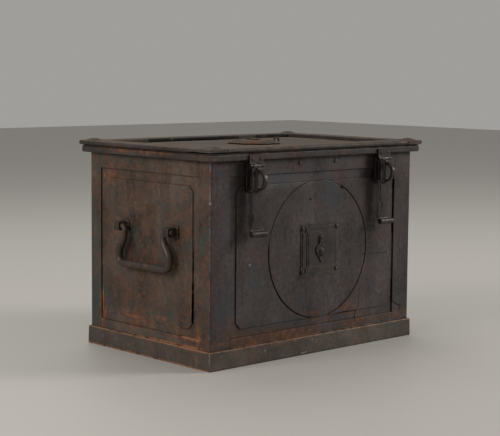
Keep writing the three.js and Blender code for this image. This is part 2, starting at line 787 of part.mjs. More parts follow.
// A lobed plate carries a ring and a low dome with the keyhole, and a pear-shaped cover turns on it.
function addLidOrnament() {
  const points = [];
  const steps = ornamentLobes * curveSteps;
  for (let i = 0; i < steps; i++) {
    const turn = (2 * Math.PI * i) / steps;
    const wave = Math.abs(Math.sin((ornamentLobes / 2) * turn));
    const radius = ornamentRadius - ornamentLobeDepth * (1 - wave);
    points.push(new THREE.Vector2(radius * Math.cos(turn), radius * Math.sin(turn)));
  }
  const plateTop = ornamentBottom + ornamentThickness;
  const plate = slab(points, ornamentBottom, ornamentThickness);
  const ring = new THREE.TorusGeometry(ornamentRingRadius, ornamentRingBar, curveSteps + 2, circleSides);
  ring.translate(0, 0, plateTop);
  const ringCap = block(
    -ornamentRadius, ornamentRadius, -ornamentRadius, ornamentRadius, plateTop - ornamentThickness / 2,
    plateTop + ornamentRingBar + overrun,
  );
  const domeTop = plateTop + ornamentDomeHeight;
  const dome = new THREE.CylinderGeometry(
    ornamentFlatRadius, ornamentDomeRadius, ornamentDomeHeight + ornamentThickness / 2, circleSides,
  );
  dome.rotateX(Math.PI / 2).translate(0, 0, (domeTop + plateTop - ornamentThickness / 2) / 2);
  const body = keyholeThrough(join(plate, keep(ring, ringCap), dome), ornamentBottom, domeTop);
  const coverLow = domeTop + seat;
  add(strongbox, "lid_ornament", join(body, ...coverStud(0, lidCoverPivot, domeTop)), looks.lid);

  const cover = new THREE.Shape();
  cover.absarc(0, 0, lidCoverRadius, 0, Math.PI);
  cover.quadraticCurveTo(-lidCoverRadius, -lidCoverRadius, -coverBossRadius, -lidCoverPivot);
  cover.quadraticCurveTo(-coverBossRadius, -lidCoverLength, 0, -lidCoverLength);
  cover.quadraticCurveTo(coverBossRadius, -lidCoverLength, coverBossRadius, -lidCoverPivot);
  cover.quadraticCurveTo(lidCoverRadius, -lidCoverRadius, lidCoverRadius, 0);
  const sheet = cut(slab(cover, coverLow, coverThickness), coverBore(coverLow));
  add(strongbox, "lid_keyhole_cover", sheet.translate(0, lidCoverPivot, 0), looks.lid);
}

// The chest's leaf carries the two end knuckles and the pin, and the lid's leaf the middle one.
function addHinges() {
  const axisDepth = seat + hingeKnuckle;
  const axisHeight = bodyHeight - hingeLidGap - hingeKnuckle;
  const knuckle = hingeWidth / 3;
  const leafLow = seat;
  const lidLeafLow = bandOverhang + seat;
  const swing = lidLeafLow + hingeLeafThickness - axisDepth + hingeLeafThickness;
  for (const [hand, sx] of [["left", -1], ["right", 1]]) {
    const x = -sx * hingePlace; // seen from the back, the chest's left is on the viewer's right
    const leaf = block(
      x - hingeWidth / 2, x + hingeWidth / 2, axisHeight - hingeLeafHeight, axisHeight, leafLow,
      leafLow + hingeLeafThickness,
    );
    const notch = block(
      x - knuckle / 2, x + knuckle / 2, axisHeight - swing, axisHeight + overrun, leafLow - overrun,
      axisDepth + hingeKnuckle + overrun,
    );
    const barrels = [-1, 1].map((end) =>
      rodAlongX(hingeKnuckle, knuckle, x + end * knuckle, axisHeight, axisDepth),
    );
    const pin = rodAlongX(hingePin, hingeWidth + 2 * hingeGap, x, axisHeight, axisDepth);
    const chestLeaf = join(cut(leaf, notch), ...barrels, pin);
    add(sides.back.group, `chest_hinge_${hand}`, chestLeaf, looks.fittings);

    const narrow = knuckle / 2 - hingeGap;
    const barrel = rodAlongX(hingeKnuckle, 2 * narrow, x, axisHeight, axisDepth);
    const tab = block(
      x - narrow, x + narrow, axisHeight - hingeLeafThickness / 2, axisHeight + hingeLeafThickness / 2,
      axisDepth, lidLeafLow + hingeLeafThickness,
    );
    const plate = block(
      x - hingeWidth / 2, x + hingeWidth / 2, axisHeight, axisHeight + lidLeafHeight, lidLeafLow,
      lidLeafLow + hingeLeafThickness,
    );
    const bore = rodAlongX(hingePin + pivotClearance, knuckle + 2 * overrun, x, axisHeight, axisDepth);
    add(sides.back.group, `lid_hinge_${hand}`, cut(join(barrel, tab, plate), bore), looks.fittings);
  }
}

// The hasp is a strap with a slot, a stepped waist and a flared foot that ends in a roll.
function haspStrap() {
  const back = haspAxisDepth + haspKnuckle - haspThickness;
  const foot = haspFlareDrop + haspRollRadius;
  const waist = haspWidth / 2 - haspWaistStep;
  const flareStart = haspRollRadius - haspFlareDrop;
  const outline = new THREE.Shape();
  outline.moveTo(haspNeck / 2, 0);
  outline.lineTo(haspNeck / 2, -haspShoulderDrop);
  outline.lineTo(haspWidth / 2, -haspShoulderDrop);
  outline.lineTo(haspWidth / 2, -haspWaistDrop);
  outline.lineTo(waist, -haspWaistDrop - haspWaistStep / 2);
  outline.quadraticCurveTo(waist, flareStart, haspFlare, -haspFlareDrop);
  outline.lineTo(haspFlare, -foot);
  outline.lineTo(-haspFlare, -foot);
  outline.lineTo(-haspFlare, -haspFlareDrop);
  outline.quadraticCurveTo(-waist, flareStart, -waist, -haspWaistDrop - haspWaistStep / 2);
  outline.lineTo(-haspWidth / 2, -haspWaistDrop);
  outline.lineTo(-haspWidth / 2, -haspShoulderDrop);
  outline.lineTo(-haspNeck / 2, -haspShoulderDrop);
  outline.lineTo(-haspNeck / 2, 0);
  const roll = rodAlongX(haspRollRadius, 2 * haspFlare, 0, -foot, back + haspRollRadius);
  const barrel = rodAlongX(haspKnuckle, haspNeck, 0, 0, haspAxisDepth);
  const whole = join(slab(outline, back, haspThickness), roll, barrel);
  const slotLow = -slotDrop - slotHeight / 2;
  const slot = block(
    -slotWidth / 2, slotWidth / 2, slotLow, slotLow + slotHeight, back - overrun,
    back + haspThickness + overrun,
  );
  const bore = rodAlongX(haspPin + pivotClearance, haspNeck + 2 * overrun, 0, 0, haspAxisDepth);
  return cut(whole, slot, bore);
}

// A D-shaped eye for a padlock. Its straight back lies across both ends of the hasp's slot.
function padlockEye() {
  const outerHalf = eyeHeight / 2;
  const arch = (half, reach, low) => {
    const curve = new THREE.EllipseCurve(0, 0, reach - low, half, -Math.PI / 2, Math.PI / 2);
    return curve.getPoints(2 * curveSteps).map((p) => new THREE.Vector2(low + p.x, p.y));
  };
  const outline = new THREE.Shape(arch(outerHalf, eyeReach, 0));
  outline.holes.push(new THREE.Path(arch(outerHalf - eyeBar, eyeReach - eyeBar, eyeBase)));
  const baseHalf = slotHeight / 2 + eyeSeatLap;
  const loop = slab(outline, -eyeWidth / 2, eyeWidth);
  const foot = block(0, eyeBase, -baseHalf, baseHalf, -eyeWidth / 2, eyeWidth / 2);
  // The outline's x is the reach outwards, so the piece is turned to stand out along z.
  const piece = join(loop, foot).rotateY(-Math.PI / 2);
  return piece.translate(0, -slotDrop, haspAxisDepth + haspKnuckle + seat);
}

function haspBracket() {
  const low = bandOverhang + seat;
  const plateBottom = haspKnuckle + bracketGap;
  const high = low + bracketThickness;
  const half = bracketWidth / 2;
  const plate = block(-half, half, plateBottom, plateBottom + bracketHeight, low, high);
  const earInner = haspNeck / 2 + bracketGap;
  const earWidth = half - earInner;
  const pieces = [];
  for (const sx of [-1, 1]) {
    const middle = sx * (half - earWidth / 2);
    pieces.push(
      block(middle - earWidth / 2, middle + earWidth / 2, 0, plateBottom + bracketGap, low, high),
      rodAlongX(haspKnuckle, earWidth, middle, 0, haspAxisDepth),
    );
  }
  const pin = rodAlongX(haspPin, bracketWidth - earWidth, 0, 0, haspAxisDepth);
  return join(plate, ...pieces, pin);
}

// The plate behind the hasp is riveted to the chest. Its nose stops short of the hasp's back.
function haspPlate() {
  const half = haspWidth / 2;
  const outline = new THREE.Shape();
  const tip = haspPlateRise - haspPlateLength;
  outline.moveTo(half, haspPlateRise);
  outline.lineTo(-half, haspPlateRise);
  outline.lineTo(-half, tip + half / 2);
  outline.quadraticCurveTo(-half, tip, 0, tip);
  outline.quadraticCurveTo(half, tip, half, tip + half / 2);
  const plate = slab(outline, seat, haspPlateThickness);
  const noseTop = haspAxisDepth + haspKnuckle - haspThickness - noseGap;
  const nose = block(
    -noseWidth / 2, noseWidth / 2, -slotDrop - noseHeight / 2, -slotDrop + noseHeight / 2, seat, noseTop,
  );
  return join(plate, nose);
}

function addHasps() {
  for (const [hand, sx] of [["left", -1], ["right", 1]]) {
    const place = (geometry) => geometry.translate(sx * haspPlace, haspAxisHeight, 0);
    const group = sides.front.group;
    add(group, `hasp_plate_${hand}`, place(haspPlate()), looks.fittings);
    add(group, `hasp_bracket_${hand}`, place(haspBracket()), looks.fittings);
    add(group, `hasp_${hand}`, place(haspStrap()), looks.fittings);
    add(group, `padlock_eye_${hand}`, place(padlockEye()), looks.fittings);
  }
}

// The lock's four directions, with the chest's inner mouth half-size along each.
const mouthX = wallX - wallThickness - seat - flangeWidth;
const mouthY = wallY - wallThickness - seat - flangeWidth;
const throws = [
  { name: "right", turn: 0, mouth: mouthX },
  { name: "back", turn: 1, mouth: mouthY },
  { name: "left", turn: 2, mouth: mouthX },
  { name: "front", turn: 3, mouth: mouthY },
];

function boltBar(mouth) {
  const tip = mouth - boltTipGap;
  const half = boltWidth / 2;
  const outline = [
    [boltInnerRadius, -half],
    [tip - boltTipBevel, -half],
    [tip, boltTipBevel - half],
    [tip, half - boltTipBevel],
    [tip - boltTipBevel, half],
    [boltInnerRadius, half],
  ].map(([x, y]) => new THREE.Vector2(x, y));
  const bar = slab(outline, boltBottom, boltThickness);
  const pinLow = boltTop - boltThickness / 2;
  const pin = discAt(boltPinRadius, pinPathRadius, 0, pinLow, camTop - camGap - pinLow, circleSides / 2);
  return join(bar, pin);
}

// A slot along a spiral whose radius grows at a steady rate, so equal turns give equal throws.
function spiralSlot() {
  const half = boltPinRadius + slotClearance;
  const inner = [];
  const outer = [];
  const steps = 2 * curveSteps;
  for (let i = 0; i <= steps; i++) {
    const turn = -slotEndTurn + (i / steps) * (camTurn + 2 * slotEndTurn);
    const radius = pinPathRadius + (boltThrow * turn) / camTurn;
    inner.push(new THREE.Vector2((radius - half) * Math.cos(turn), -(radius - half) * Math.sin(turn)));
    outer.push(new THREE.Vector2((radius + half) * Math.cos(turn), -(radius + half) * Math.sin(turn)));
  }
  return slab([...inner, ...outer.reverse()], camBottom - overrun, camThickness + 2 * overrun);
}

function lockCam() {
  const disc = discAt(camRadius, 0, 0, camBottom, camThickness, 2 * circleSides);
  const hubTop = bandTop - seat;
  const hub = discAt(camHubRadius, 0, 0, camBottom, hubTop - camBottom);
  const collarLow = counterboreFloor + seat;
  const collar = discAt(camHubRadius + camCollarLip, 0, 0, collarLow, hubTop - collarLow);
  const slots = throws.map(({ turn }) => spiralSlot().rotateZ((turn * Math.PI) / 2));
  return keyholeThrough(cut(join(disc, hub, collar), ...slots), camBottom, hubTop);
}

// A block under the lock plate with a window that the bolt slides through.
function boltGuide(radius) {
  const half = boltWidth / 2 + seat;
  const body = block(
    radius - guideLength / 2, radius + guideLength / 2, -half - guideWall, half + guideWall,
    boltBottom - seat - guideFloor, lockPlateBottom + lockPlateThickness / 2,
  );
  const window = block(
    radius - guideLength, radius + guideLength, -half, half, boltBottom - seat, boltTop + seat,
  );
  return cut(body, window);
}

function lockPlate() {
  const arms = [];
  for (const { turn, mouth } of throws) {
    const tip = mouth - boltTipGap;
    const outer = tip - guideInset;
    const half = lockArmWidth / 2;
    const arm = block(0, outer + guideLength, -half, half, lockPlateBottom, bandTop);
    arms.push(join(arm, boltGuide(lockCentreRadius), boltGuide(outer)).rotateZ((turn * Math.PI) / 2));
  }
  const centre = discAt(lockCentreRadius, 0, 0, lockPlateBottom, lockPlateThickness);
  const boreRadius = camHubRadius + seat;
  const bearing = discAt(boreRadius, 0, 0, lockPlateBottom - overrun, lockPlateThickness + 2 * overrun);
  const collarRadius = boreRadius + camCollarLip;
  const counterbore = discAt(collarRadius, 0, 0, counterboreFloor, counterboreDepth + overrun);
  return cut(join(centre, ...arms), bearing, counterbore);
}

function addLock() {
  add(strongbox, "lock_plate", lockPlate(), looks.inside);
  add(strongbox, "lock_cam", lockCam(), looks.inside);
  for (const { name, turn, mouth } of throws) {
    add(strongbox, `bolt_${name}`, boltBar(mouth).rotateZ((turn * Math.PI) / 2), looks.inside);
  }
}

addWalls();
addCornerAngles();
addStrips();
addPlinth();
addMouthFlange();
addPanels();
addFrontEscutcheon();
addHandles();
addLid();
addLidOrnament();
addHinges();
addHasps();
addLock();

export default strongbox;
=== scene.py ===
import json
import math

import bmesh
import bpy
import numpy
from mathutils import Matrix, Vector, noise

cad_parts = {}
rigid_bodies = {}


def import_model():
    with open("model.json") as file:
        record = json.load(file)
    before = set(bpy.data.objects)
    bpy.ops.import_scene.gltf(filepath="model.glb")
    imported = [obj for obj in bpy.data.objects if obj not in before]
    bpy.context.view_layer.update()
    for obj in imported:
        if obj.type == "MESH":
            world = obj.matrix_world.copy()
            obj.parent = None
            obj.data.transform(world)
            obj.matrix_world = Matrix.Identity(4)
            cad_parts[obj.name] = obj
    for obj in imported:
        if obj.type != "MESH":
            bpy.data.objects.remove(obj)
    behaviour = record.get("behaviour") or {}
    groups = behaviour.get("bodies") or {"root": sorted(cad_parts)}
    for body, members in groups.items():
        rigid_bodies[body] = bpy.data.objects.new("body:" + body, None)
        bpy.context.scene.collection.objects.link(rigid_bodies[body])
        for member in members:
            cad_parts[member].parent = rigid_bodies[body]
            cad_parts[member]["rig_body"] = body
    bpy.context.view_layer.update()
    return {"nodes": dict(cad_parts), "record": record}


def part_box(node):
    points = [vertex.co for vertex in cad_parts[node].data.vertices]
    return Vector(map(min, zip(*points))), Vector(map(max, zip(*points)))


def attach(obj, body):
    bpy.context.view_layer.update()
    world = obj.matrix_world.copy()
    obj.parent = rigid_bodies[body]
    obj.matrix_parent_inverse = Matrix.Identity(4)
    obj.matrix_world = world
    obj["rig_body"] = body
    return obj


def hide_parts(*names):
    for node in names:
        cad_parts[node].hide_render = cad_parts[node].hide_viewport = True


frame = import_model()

# An old riveted iron chest. Metres, the front faces -Y, the origin is the middle of its base.
nodes = frame["nodes"]
slotOf = {part["node"]: part["material_slot"] for part in frame["record"]["subparts"]}
mm = 0.001
print("frame loaded:", len(nodes), "nodes")

# Places that more than one piece uses
halfWidth, halfDepth = 0.300, 0.198
discMiddle = (0.008, 0.222)      # along the front, height
haspPlace, hingePlace = 0.192, 0.190      # to either side of the middle


# Camera, at the photograph's angle, and a plain floor under soft lamps
camera = {
    "place": (-2.1013, -2.2464, 0.6085),
    "turn": 42.958,      # degrees from +Y towards +X
    "down": 6.248,
    "roll": 0.498,
    "lens": 100.21,      # mm, as the sensor's width
    "sensor": 36,
    "reach": 60,
}
studio = {
    "floorTone": (0.47, 0.45, 0.42),
    "floorRough": 0.5,
    "floorReach": 9.0,
    "skyTone": (0.80, 0.78, 0.75),
    "skyLevel": 0.44,
    "aimHeight": 0.2,
    # name, place, size, power, colour
    "lamps": [
        ("keyFromRight", (3.3, -2.5, 2.1), 1.7, 118, (1.0, 0.985, 0.96)),
        ("fillFromLeft", (-3.3, 0.2, 1.9), 2.0, 66, (1.0, 0.98, 0.95)),
        ("softAbove", (0.4, 1.6, 2.8), 2.4, 26, (0.99, 0.99, 1.0)),
    ],
}


def addCamera():
    turn, down, roll = [math.radians(camera[name]) for name in ("turn", "down", "roll")]
    ahead = Vector((math.sin(turn) * math.cos(down), math.cos(turn) * math.cos(down), -math.sin(down)))
    right = Vector((math.cos(turn), -math.sin(turn), 0))
    below = ahead.cross(right)
    tiltedRight = math.cos(roll) * right - math.sin(roll) * below
    tiltedBelow = math.sin(roll) * right + math.cos(roll) * below
    lensData = bpy.data.cameras.new("camera")
    lensData.lens = camera["lens"]
    lensData.sensor_width = camera["sensor"]
    lensData.clip_end = camera["reach"]
    view = bpy.data.objects.new("camera", lensData)
    facing = Matrix((tiltedRight, -tiltedBelow, -ahead)).transposed()
    view.matrix_world = Matrix.Translation(camera["place"]) @ facing.to_4x4()
    bpy.context.scene.collection.objects.link(view)
    bpy.context.scene.camera = view


def addStudio():
    scene = bpy.context.scene
    scene.view_settings.view_transform = "Standard"
    sky = bpy.data.worlds.new("sky")
    sky.use_nodes = True
    paint = sky.node_tree.nodes["Background"]
    paint.inputs["Color"].default_value = (*studio["skyTone"], 1)
    paint.inputs["Strength"].default_value = studio["skyLevel"]
    scene.world = sky
    for name, place, size, power, tone in studio["lamps"]:
        glow = bpy.data.lights.new(name, "AREA")
        glow.shape = "DISK"
        glow.size = size
        glow.energy = power
        glow.color = tone
        lamp = bpy.data.objects.new(name, glow)
        aim = Vector((0, 0, studio["aimHeight"])) - Vector(place)
        lamp.matrix_world = Matrix.Translation(place) @ aim.to_track_quat("-Z", "Y").to_matrix().to_4x4()
        scene.collection.objects.link(lamp)
    reach = studio["floorReach"]
    ground = bpy.data.meshes.new("floor")
    corners = [(-reach, -reach, 0), (reach, -reach, 0), (reach, reach, 0), (-reach, reach, 0)]
    ground.from_pydata(corners, [], [(0, 1, 2, 3)])
    floor = bpy.data.objects.new("floor", ground)
    scene.collection.objects.link(floor)
    finish = bpy.data.materials.new("paleFloor")
    finish.use_nodes = True
    shader = finish.node_tree.nodes["Principled BSDF"]
    shader.inputs["Base Color"].default_value = (*studio["floorTone"], 1)
    shader.inputs["Roughness"].default_value = studio["floorRough"]
    ground.materials.append(finish)


addCamera()
addStudio()
print("camera, lamps and floor ready")


# Small helpers for node trees
def put(tree, kind, inputs=None, **settings):
    node = tree.nodes.new(kind)
    for name, value in settings.items():
        setattr(node, name, value)
    for name, value in (inputs or {}).items():
        if isinstance(value, bpy.types.NodeSocket):
            tree.links.new(value, node.inputs[name])
        else:
            node.inputs[name].default_value = value
    return node


def blendColours(tree, share, first, second, how="MIX"):
    node = put(tree, "ShaderNodeMix", {0: share, 6: first, 7: second}, data_type="RGBA", blend_type=how)
    return node.outputs[2]


def calculate(tree, how, first, second=0.0, third=0.0):
    return put(tree, "ShaderNodeMath", {0: first, 1: second, 2: third}, operation=how).outputs[0]


def stretch(tree, value, low, high, newLow=0.0, newHigh=1.0):
    node = put(
        tree, "ShaderNodeMapRange", {0: value, 1: low, 2: high, 3: newLow, 4: newHigh},
        interpolation_type="SMOOTHSTEP",
    )
    return node.outputs[0]


def cloud(tree, place, scale, detail=4.0, roughness=0.55, distortion=0.0):
    node = put(tree, "ShaderNodeTexNoise", {
        "Vector": place, "Scale": scale, "Detail": detail, "Roughness": roughness, "Distortion": distortion,
    })
    return node.outputs[0]


def shifted(tree, place, move=(0, 0, 0), scale=(1, 1, 1)):
    return put(tree, "ShaderNodeMapping", {"Vector": place, "Location": move, "Scale": scale}).outputs[0]


def shaderGroup(name, inputs, outputs):
    tree = bpy.data.node_groups.new(name, "ShaderNodeTree")
    for label, kind, value in inputs:
        socket = tree.interface.new_socket(label, in_out="INPUT", socket_type=kind)
        if value is not None:
            socket.default_value = value
    for label, kind in outputs:
        tree.interface.new_socket(label, in_out="OUTPUT", socket_type=kind)
    return tree, tree.nodes.new("NodeGroupInput").outputs, tree.nodes.new("NodeGroupOutput").inputs


number, colour, vector = "NodeSocketFloat", "NodeSocketColor", "NodeSocketVector"


# Shared effects. Each one gives masks, values or colours that change over the surface.
# How fine the patterns are: the tone's as multiples of its Scale, the others per metre.
toneScales = {"runs": 5, "speckle": 16, "patches": 3.4, "flecks": 4.6, "spots": 15}
patterns = {
    "hammer": 26, "mottle": 150, "pits": 260.0, "pitPatches": 34, "chips": 42.0, "wornEdge": 55,
    "seamGaps": 40, "rustBroad": 9, "rustFine": 95, "rustTint": 60, "dustDrift": 17, "lineWander": 90,
    "lineGaps": 38,
}


def toneGroup():
    tree, given, result = shaderGroup("forgedTone", [
        ("Place", vector, None), ("Deep", colour, None), ("Middle", colour, None), ("Light", colour, None),
        ("Cool", colour, None), ("Warm", colour, None), ("Scale", number, 7.0), ("Streaks", number, 0.3),
        ("Cool Share", number, 0.3), ("Warm Share", number, 0.3), ("Cool Mark", number, 0.0),
        ("Pale Mark", number, 0.0),
    ], [("Colour", colour)])

    def finer(name):
        return calculate(tree, "MULTIPLY", given["Scale"], toneScales[name])

    def laidOver(below, mask, name):
        shown = calculate(tree, "MULTIPLY", mask, given[name + " Share"])
        return blendColours(tree, shown, below, given[name])

    broad = cloud(tree, given["Place"], given["Scale"], 5, 0.62, 0.3)
    long = shifted(tree, given["Place"], (3.1, 1.7, 0), (1, 1, 0.16))
    runs = cloud(tree, long, finer("runs"), 4, 0.6)
    speckle = cloud(tree, given["Place"], finer("speckle"), 6, 0.78)
    pull = calculate(tree, "MULTIPLY", calculate(tree, "SUBTRACT", runs, 0.5), given["Streaks"])
    shade = calculate(tree, "ADD", broad, pull)
    shade = calculate(tree, "MULTIPLY_ADD", calculate(tree, "SUBTRACT", speckle, 0.5), 0.85, shade)
    shade = calculate(tree, "MULTIPLY_ADD", given["Pale Mark"], 0.3, shade)
    full = blendColours(tree, stretch(tree, shade, 0.30, 0.50), given["Deep"], given["Middle"])
    full = blendColours(tree, stretch(tree, shade, 0.5, 0.74), full, given["Light"])
    drawn = shifted(tree, given["Place"], (1.3, 4.1, 2.2), (1, 1, 0.5))
    patches = cloud(tree, drawn, finer("patches"), 6, 0.7, 0.3)
    coolPlace = calculate(tree, "MULTIPLY_ADD", given["Cool Mark"], 0.2, patches)
    full = laidOver(full, stretch(tree, coolPlace, 0.5, 0.66), "Cool")
    flecks = cloud(tree, shifted(tree, drawn, (5.2, 0.4, 3.3)), finer("flecks"), 6, 0.72, 0.2)
    full = laidOver(full, stretch(tree, flecks, 0.52, 0.7), "Warm")
    spots = cloud(tree, given["Place"], finer("spots"), 3, 0.6)
    full = laidOver(full, stretch(tree, spots, 0.58, 0.68), "Cool")
    full = laidOver(full, stretch(tree, spots, 0.42, 0.32), "Warm")
    tree.links.new(full, result["Colour"])
    return tree


def grainGroup():
    tree, given, result = shaderGroup("forgeGrain", [
        ("Place", vector, None), ("Pits", number, 1.0), ("Hammer", number, 1.0),
    ], [("Height", number), ("Mottle", number), ("Chips", number)])

    def cells(name):
        return put(tree, "ShaderNodeTexVoronoi", {
            "Vector": given["Place"], "Scale": patterns[name], "Randomness": 1.0,
        })

    hammer = cloud(tree, given["Place"], patterns["hammer"], 2, 0.5)
    scale = cloud(tree, given["Place"], patterns["mottle"], 4, 0.62, 0.2)
    pits = cells("pits")
    hollow = stretch(tree, pits.outputs["Distance"], 0.0, 0.42)
    patchy = stretch(tree, cloud(tree, given["Place"], patterns["pitPatches"], 3, 0.6), 0.46, 0.62)
    sunk = calculate(tree, "MULTIPLY", calculate(tree, "SUBTRACT", hollow, 1.0), patchy)
    height = calculate(tree, "MULTIPLY", hammer, given["Hammer"])
    height = calculate(tree, "MULTIPLY_ADD", scale, 0.34, height)
    height = calculate(tree, "MULTIPLY_ADD", calculate(tree, "MULTIPLY", sunk, given["Pits"]), 0.22, height)
    chips = cells("chips")
    chosen = put(tree, "ShaderNodeSeparateColor", {0: chips.outputs["Color"]}).outputs[0]
    rare = stretch(tree, chosen, 0.985, 0.99)
    spot = stretch(tree, chips.outputs["Distance"], 0.16, 0.08)
    tree.links.new(height, result["Height"])
    tree.links.new(scale, result["Mottle"])
    tree.links.new(calculate(tree, "MULTIPLY", rare, spot), result["Chips"])
    return tree


def edgeGroup():
    tree, given, result = shaderGroup("edgeWear", [
        ("Place", vector, None), ("Width", number, 0.0016), ("Amount", number, 0.6),
    ], [("Mask", number)])
    rounded = put(tree, "ShaderNodeBevel", {"Radius": given["Width"]}, samples=5)
    facing = put(tree, "ShaderNodeNewGeometry").outputs["Normal"]
    likeness = put(tree, "ShaderNodeVectorMath", {0: rounded.outputs[0], 1: facing}, operation="DOT_PRODUCT")
    bend = calculate(tree, "SUBTRACT", 1.0, likeness.outputs["Value"])
    broken = stretch(tree, cloud(tree, given["Place"], patterns["wornEdge"], 4, 0.65), 0.36, 0.62)
    worn = calculate(tree, "MULTIPLY", stretch(tree, bend, 0.02, 0.16), broken)
    tree.links.new(calculate(tree, "MULTIPLY", worn, given["Amount"]), result["Mask"])
    return tree


# Darkens the iron where nearby surfaces close it in, by ambient occlusion: dark grime and painted shade in
# seams and recesses.
def seamGrimeAndShadeGroup():
    tree, given, result = shaderGroup("seamGrimeAndShade", [
        ("Place", vector, None), ("Reach", number, 0.006), ("Amount", number, 0.8),
    ], [("Mask", number)])
    shelter = put(tree, "ShaderNodeAmbientOcclusion", {"Distance": given["Reach"]}, samples=6)
    closed = calculate(tree, "SUBTRACT", 1.0, shelter.outputs["AO"])
    gaps = cloud(tree, given["Place"], patterns["seamGaps"], 4, 0.6)
    broken = stretch(tree, gaps, 0.2, 0.6, 0.45, 1.0)
    grime = calculate(tree, "MULTIPLY", stretch(tree, closed, 0.12, 0.62), broken)
    tree.links.new(calculate(tree, "MULTIPLY", grime, given["Amount"]), result["Mask"])
    return tree


def rustGroup():
    tree, given, result = shaderGroup("rustBloom", [
        ("Place", vector, None), ("Amount", number, 0.3), ("Seam", number, 0.0), ("Painted", number, 0.0),
        ("Bright", colour, None), ("Dark", colour, None),
    ], [("Mask", number), ("Colour", colour)])
    moved = shifted(tree, given["Place"], (7.3, 2.2, 5.1))
    broad = cloud(tree, moved, patterns["rustBroad"], 6, 0.68, 0.4)
    fine = cloud(tree, given["Place"], patterns["rustFine"], 5, 0.7)
    field = calculate(tree, "MULTIPLY_ADD", fine, 0.45, broad)
    lift = calculate(tree, "MULTIPLY", given["Amount"], 0.5)
    lift = calculate(tree, "MULTIPLY_ADD", given["Seam"], 0.22, lift)
    lift = calculate(tree, "MULTIPLY_ADD", given["Painted"], 0.55, lift)
    mask = stretch(tree, calculate(tree, "ADD", field, lift), 0.86, 1.16)
    share = stretch(tree, cloud(tree, given["Place"], patterns["rustTint"], 5, 0.7), 0.4, 0.66)
    tint = blendColours(tree, share, given["Dark"], given["Bright"])
    tree.links.new(mask, result["Mask"])
    tree.links.new(tint, result["Colour"])
    return tree


def dustGroup():
    tree, given, result = shaderGroup("settledDust", [
        ("Place", vector, None), ("Amount", number, 0.3),
    ], [("Mask", number)])
    facing = put(tree, "ShaderNodeSeparateXYZ", {0: put(tree, "ShaderNodeNewGeometry").outputs["Normal"]})
    upward = stretch(tree, facing.outputs["Z"], 0.55, 0.97)
    drift = cloud(tree, given["Place"], patterns["dustDrift"], 6, 0.66)
    drift = stretch(tree, drift, 0.34, 0.7, 0.25, 1.0)
    mask = calculate(tree, "MULTIPLY", calculate(tree, "MULTIPLY", upward, drift), given["Amount"])
    tree.links.new(mask, result["Mask"])
    return tree


def cutGroup():
    # A thin crack or scored line between two places.
    tree, given, result = shaderGroup("scoredLine", [
        ("Place", vector, None), ("From", vector, None), ("To", vector, None), ("Width", number, 0.0012),
        ("Broken", number, 0.0),
    ], [("Mask", number)])

    def between(how, first, second):
        return put(tree, "ShaderNodeVectorMath", {0: first, 1: second}, operation=how)

    run = between("SUBTRACT", given["To"], given["From"]).outputs[0]
    away = between("SUBTRACT", given["Place"], given["From"]).outputs[0]
    along = calculate(
        tree, "DIVIDE", between("DOT_PRODUCT", away, run).outputs["Value"],
        between("DOT_PRODUCT", run, run).outputs["Value"],
    )
    along = put(tree, "ShaderNodeClamp", {0: along}).outputs[0]
    nearest = put(tree, "ShaderNodeVectorMath", {0: run, 3: along}, operation="SCALE").outputs[0]
    far = between("LENGTH", between("SUBTRACT", away, nearest).outputs[0], (0, 0, 0)).outputs["Value"]
    wander = calculate(tree, "SUBTRACT", cloud(tree, given["Place"], patterns["lineWander"], 3), 0.5)
    share = calculate(tree, "MULTIPLY_ADD", wander, 1.4, calculate(tree, "DIVIDE", far, given["Width"]))
    gaps = cloud(tree, given["Place"], patterns["lineGaps"], 4, 0.7)
    gaps = calculate(tree, "SUBTRACT", gaps, given["Broken"])
    line = calculate(tree, "MULTIPLY", stretch(tree, share, 1.0, 0.35), stretch(tree, gaps, 0.0, 0.08))
    tree.links.new(line, result["Mask"])
    return tree


effects = {
    "tone": toneGroup(), "grain": grainGroup(), "edge": edgeGroup(), "seam": seamGrimeAndShadeGroup(), "rust": rustGroup(),
    "dust": dustGroup(), "cut": cutGroup(),
}


def effect(tree, name, inputs):
    return put(tree, "ShaderNodeGroup", inputs, node_tree=effects[name])


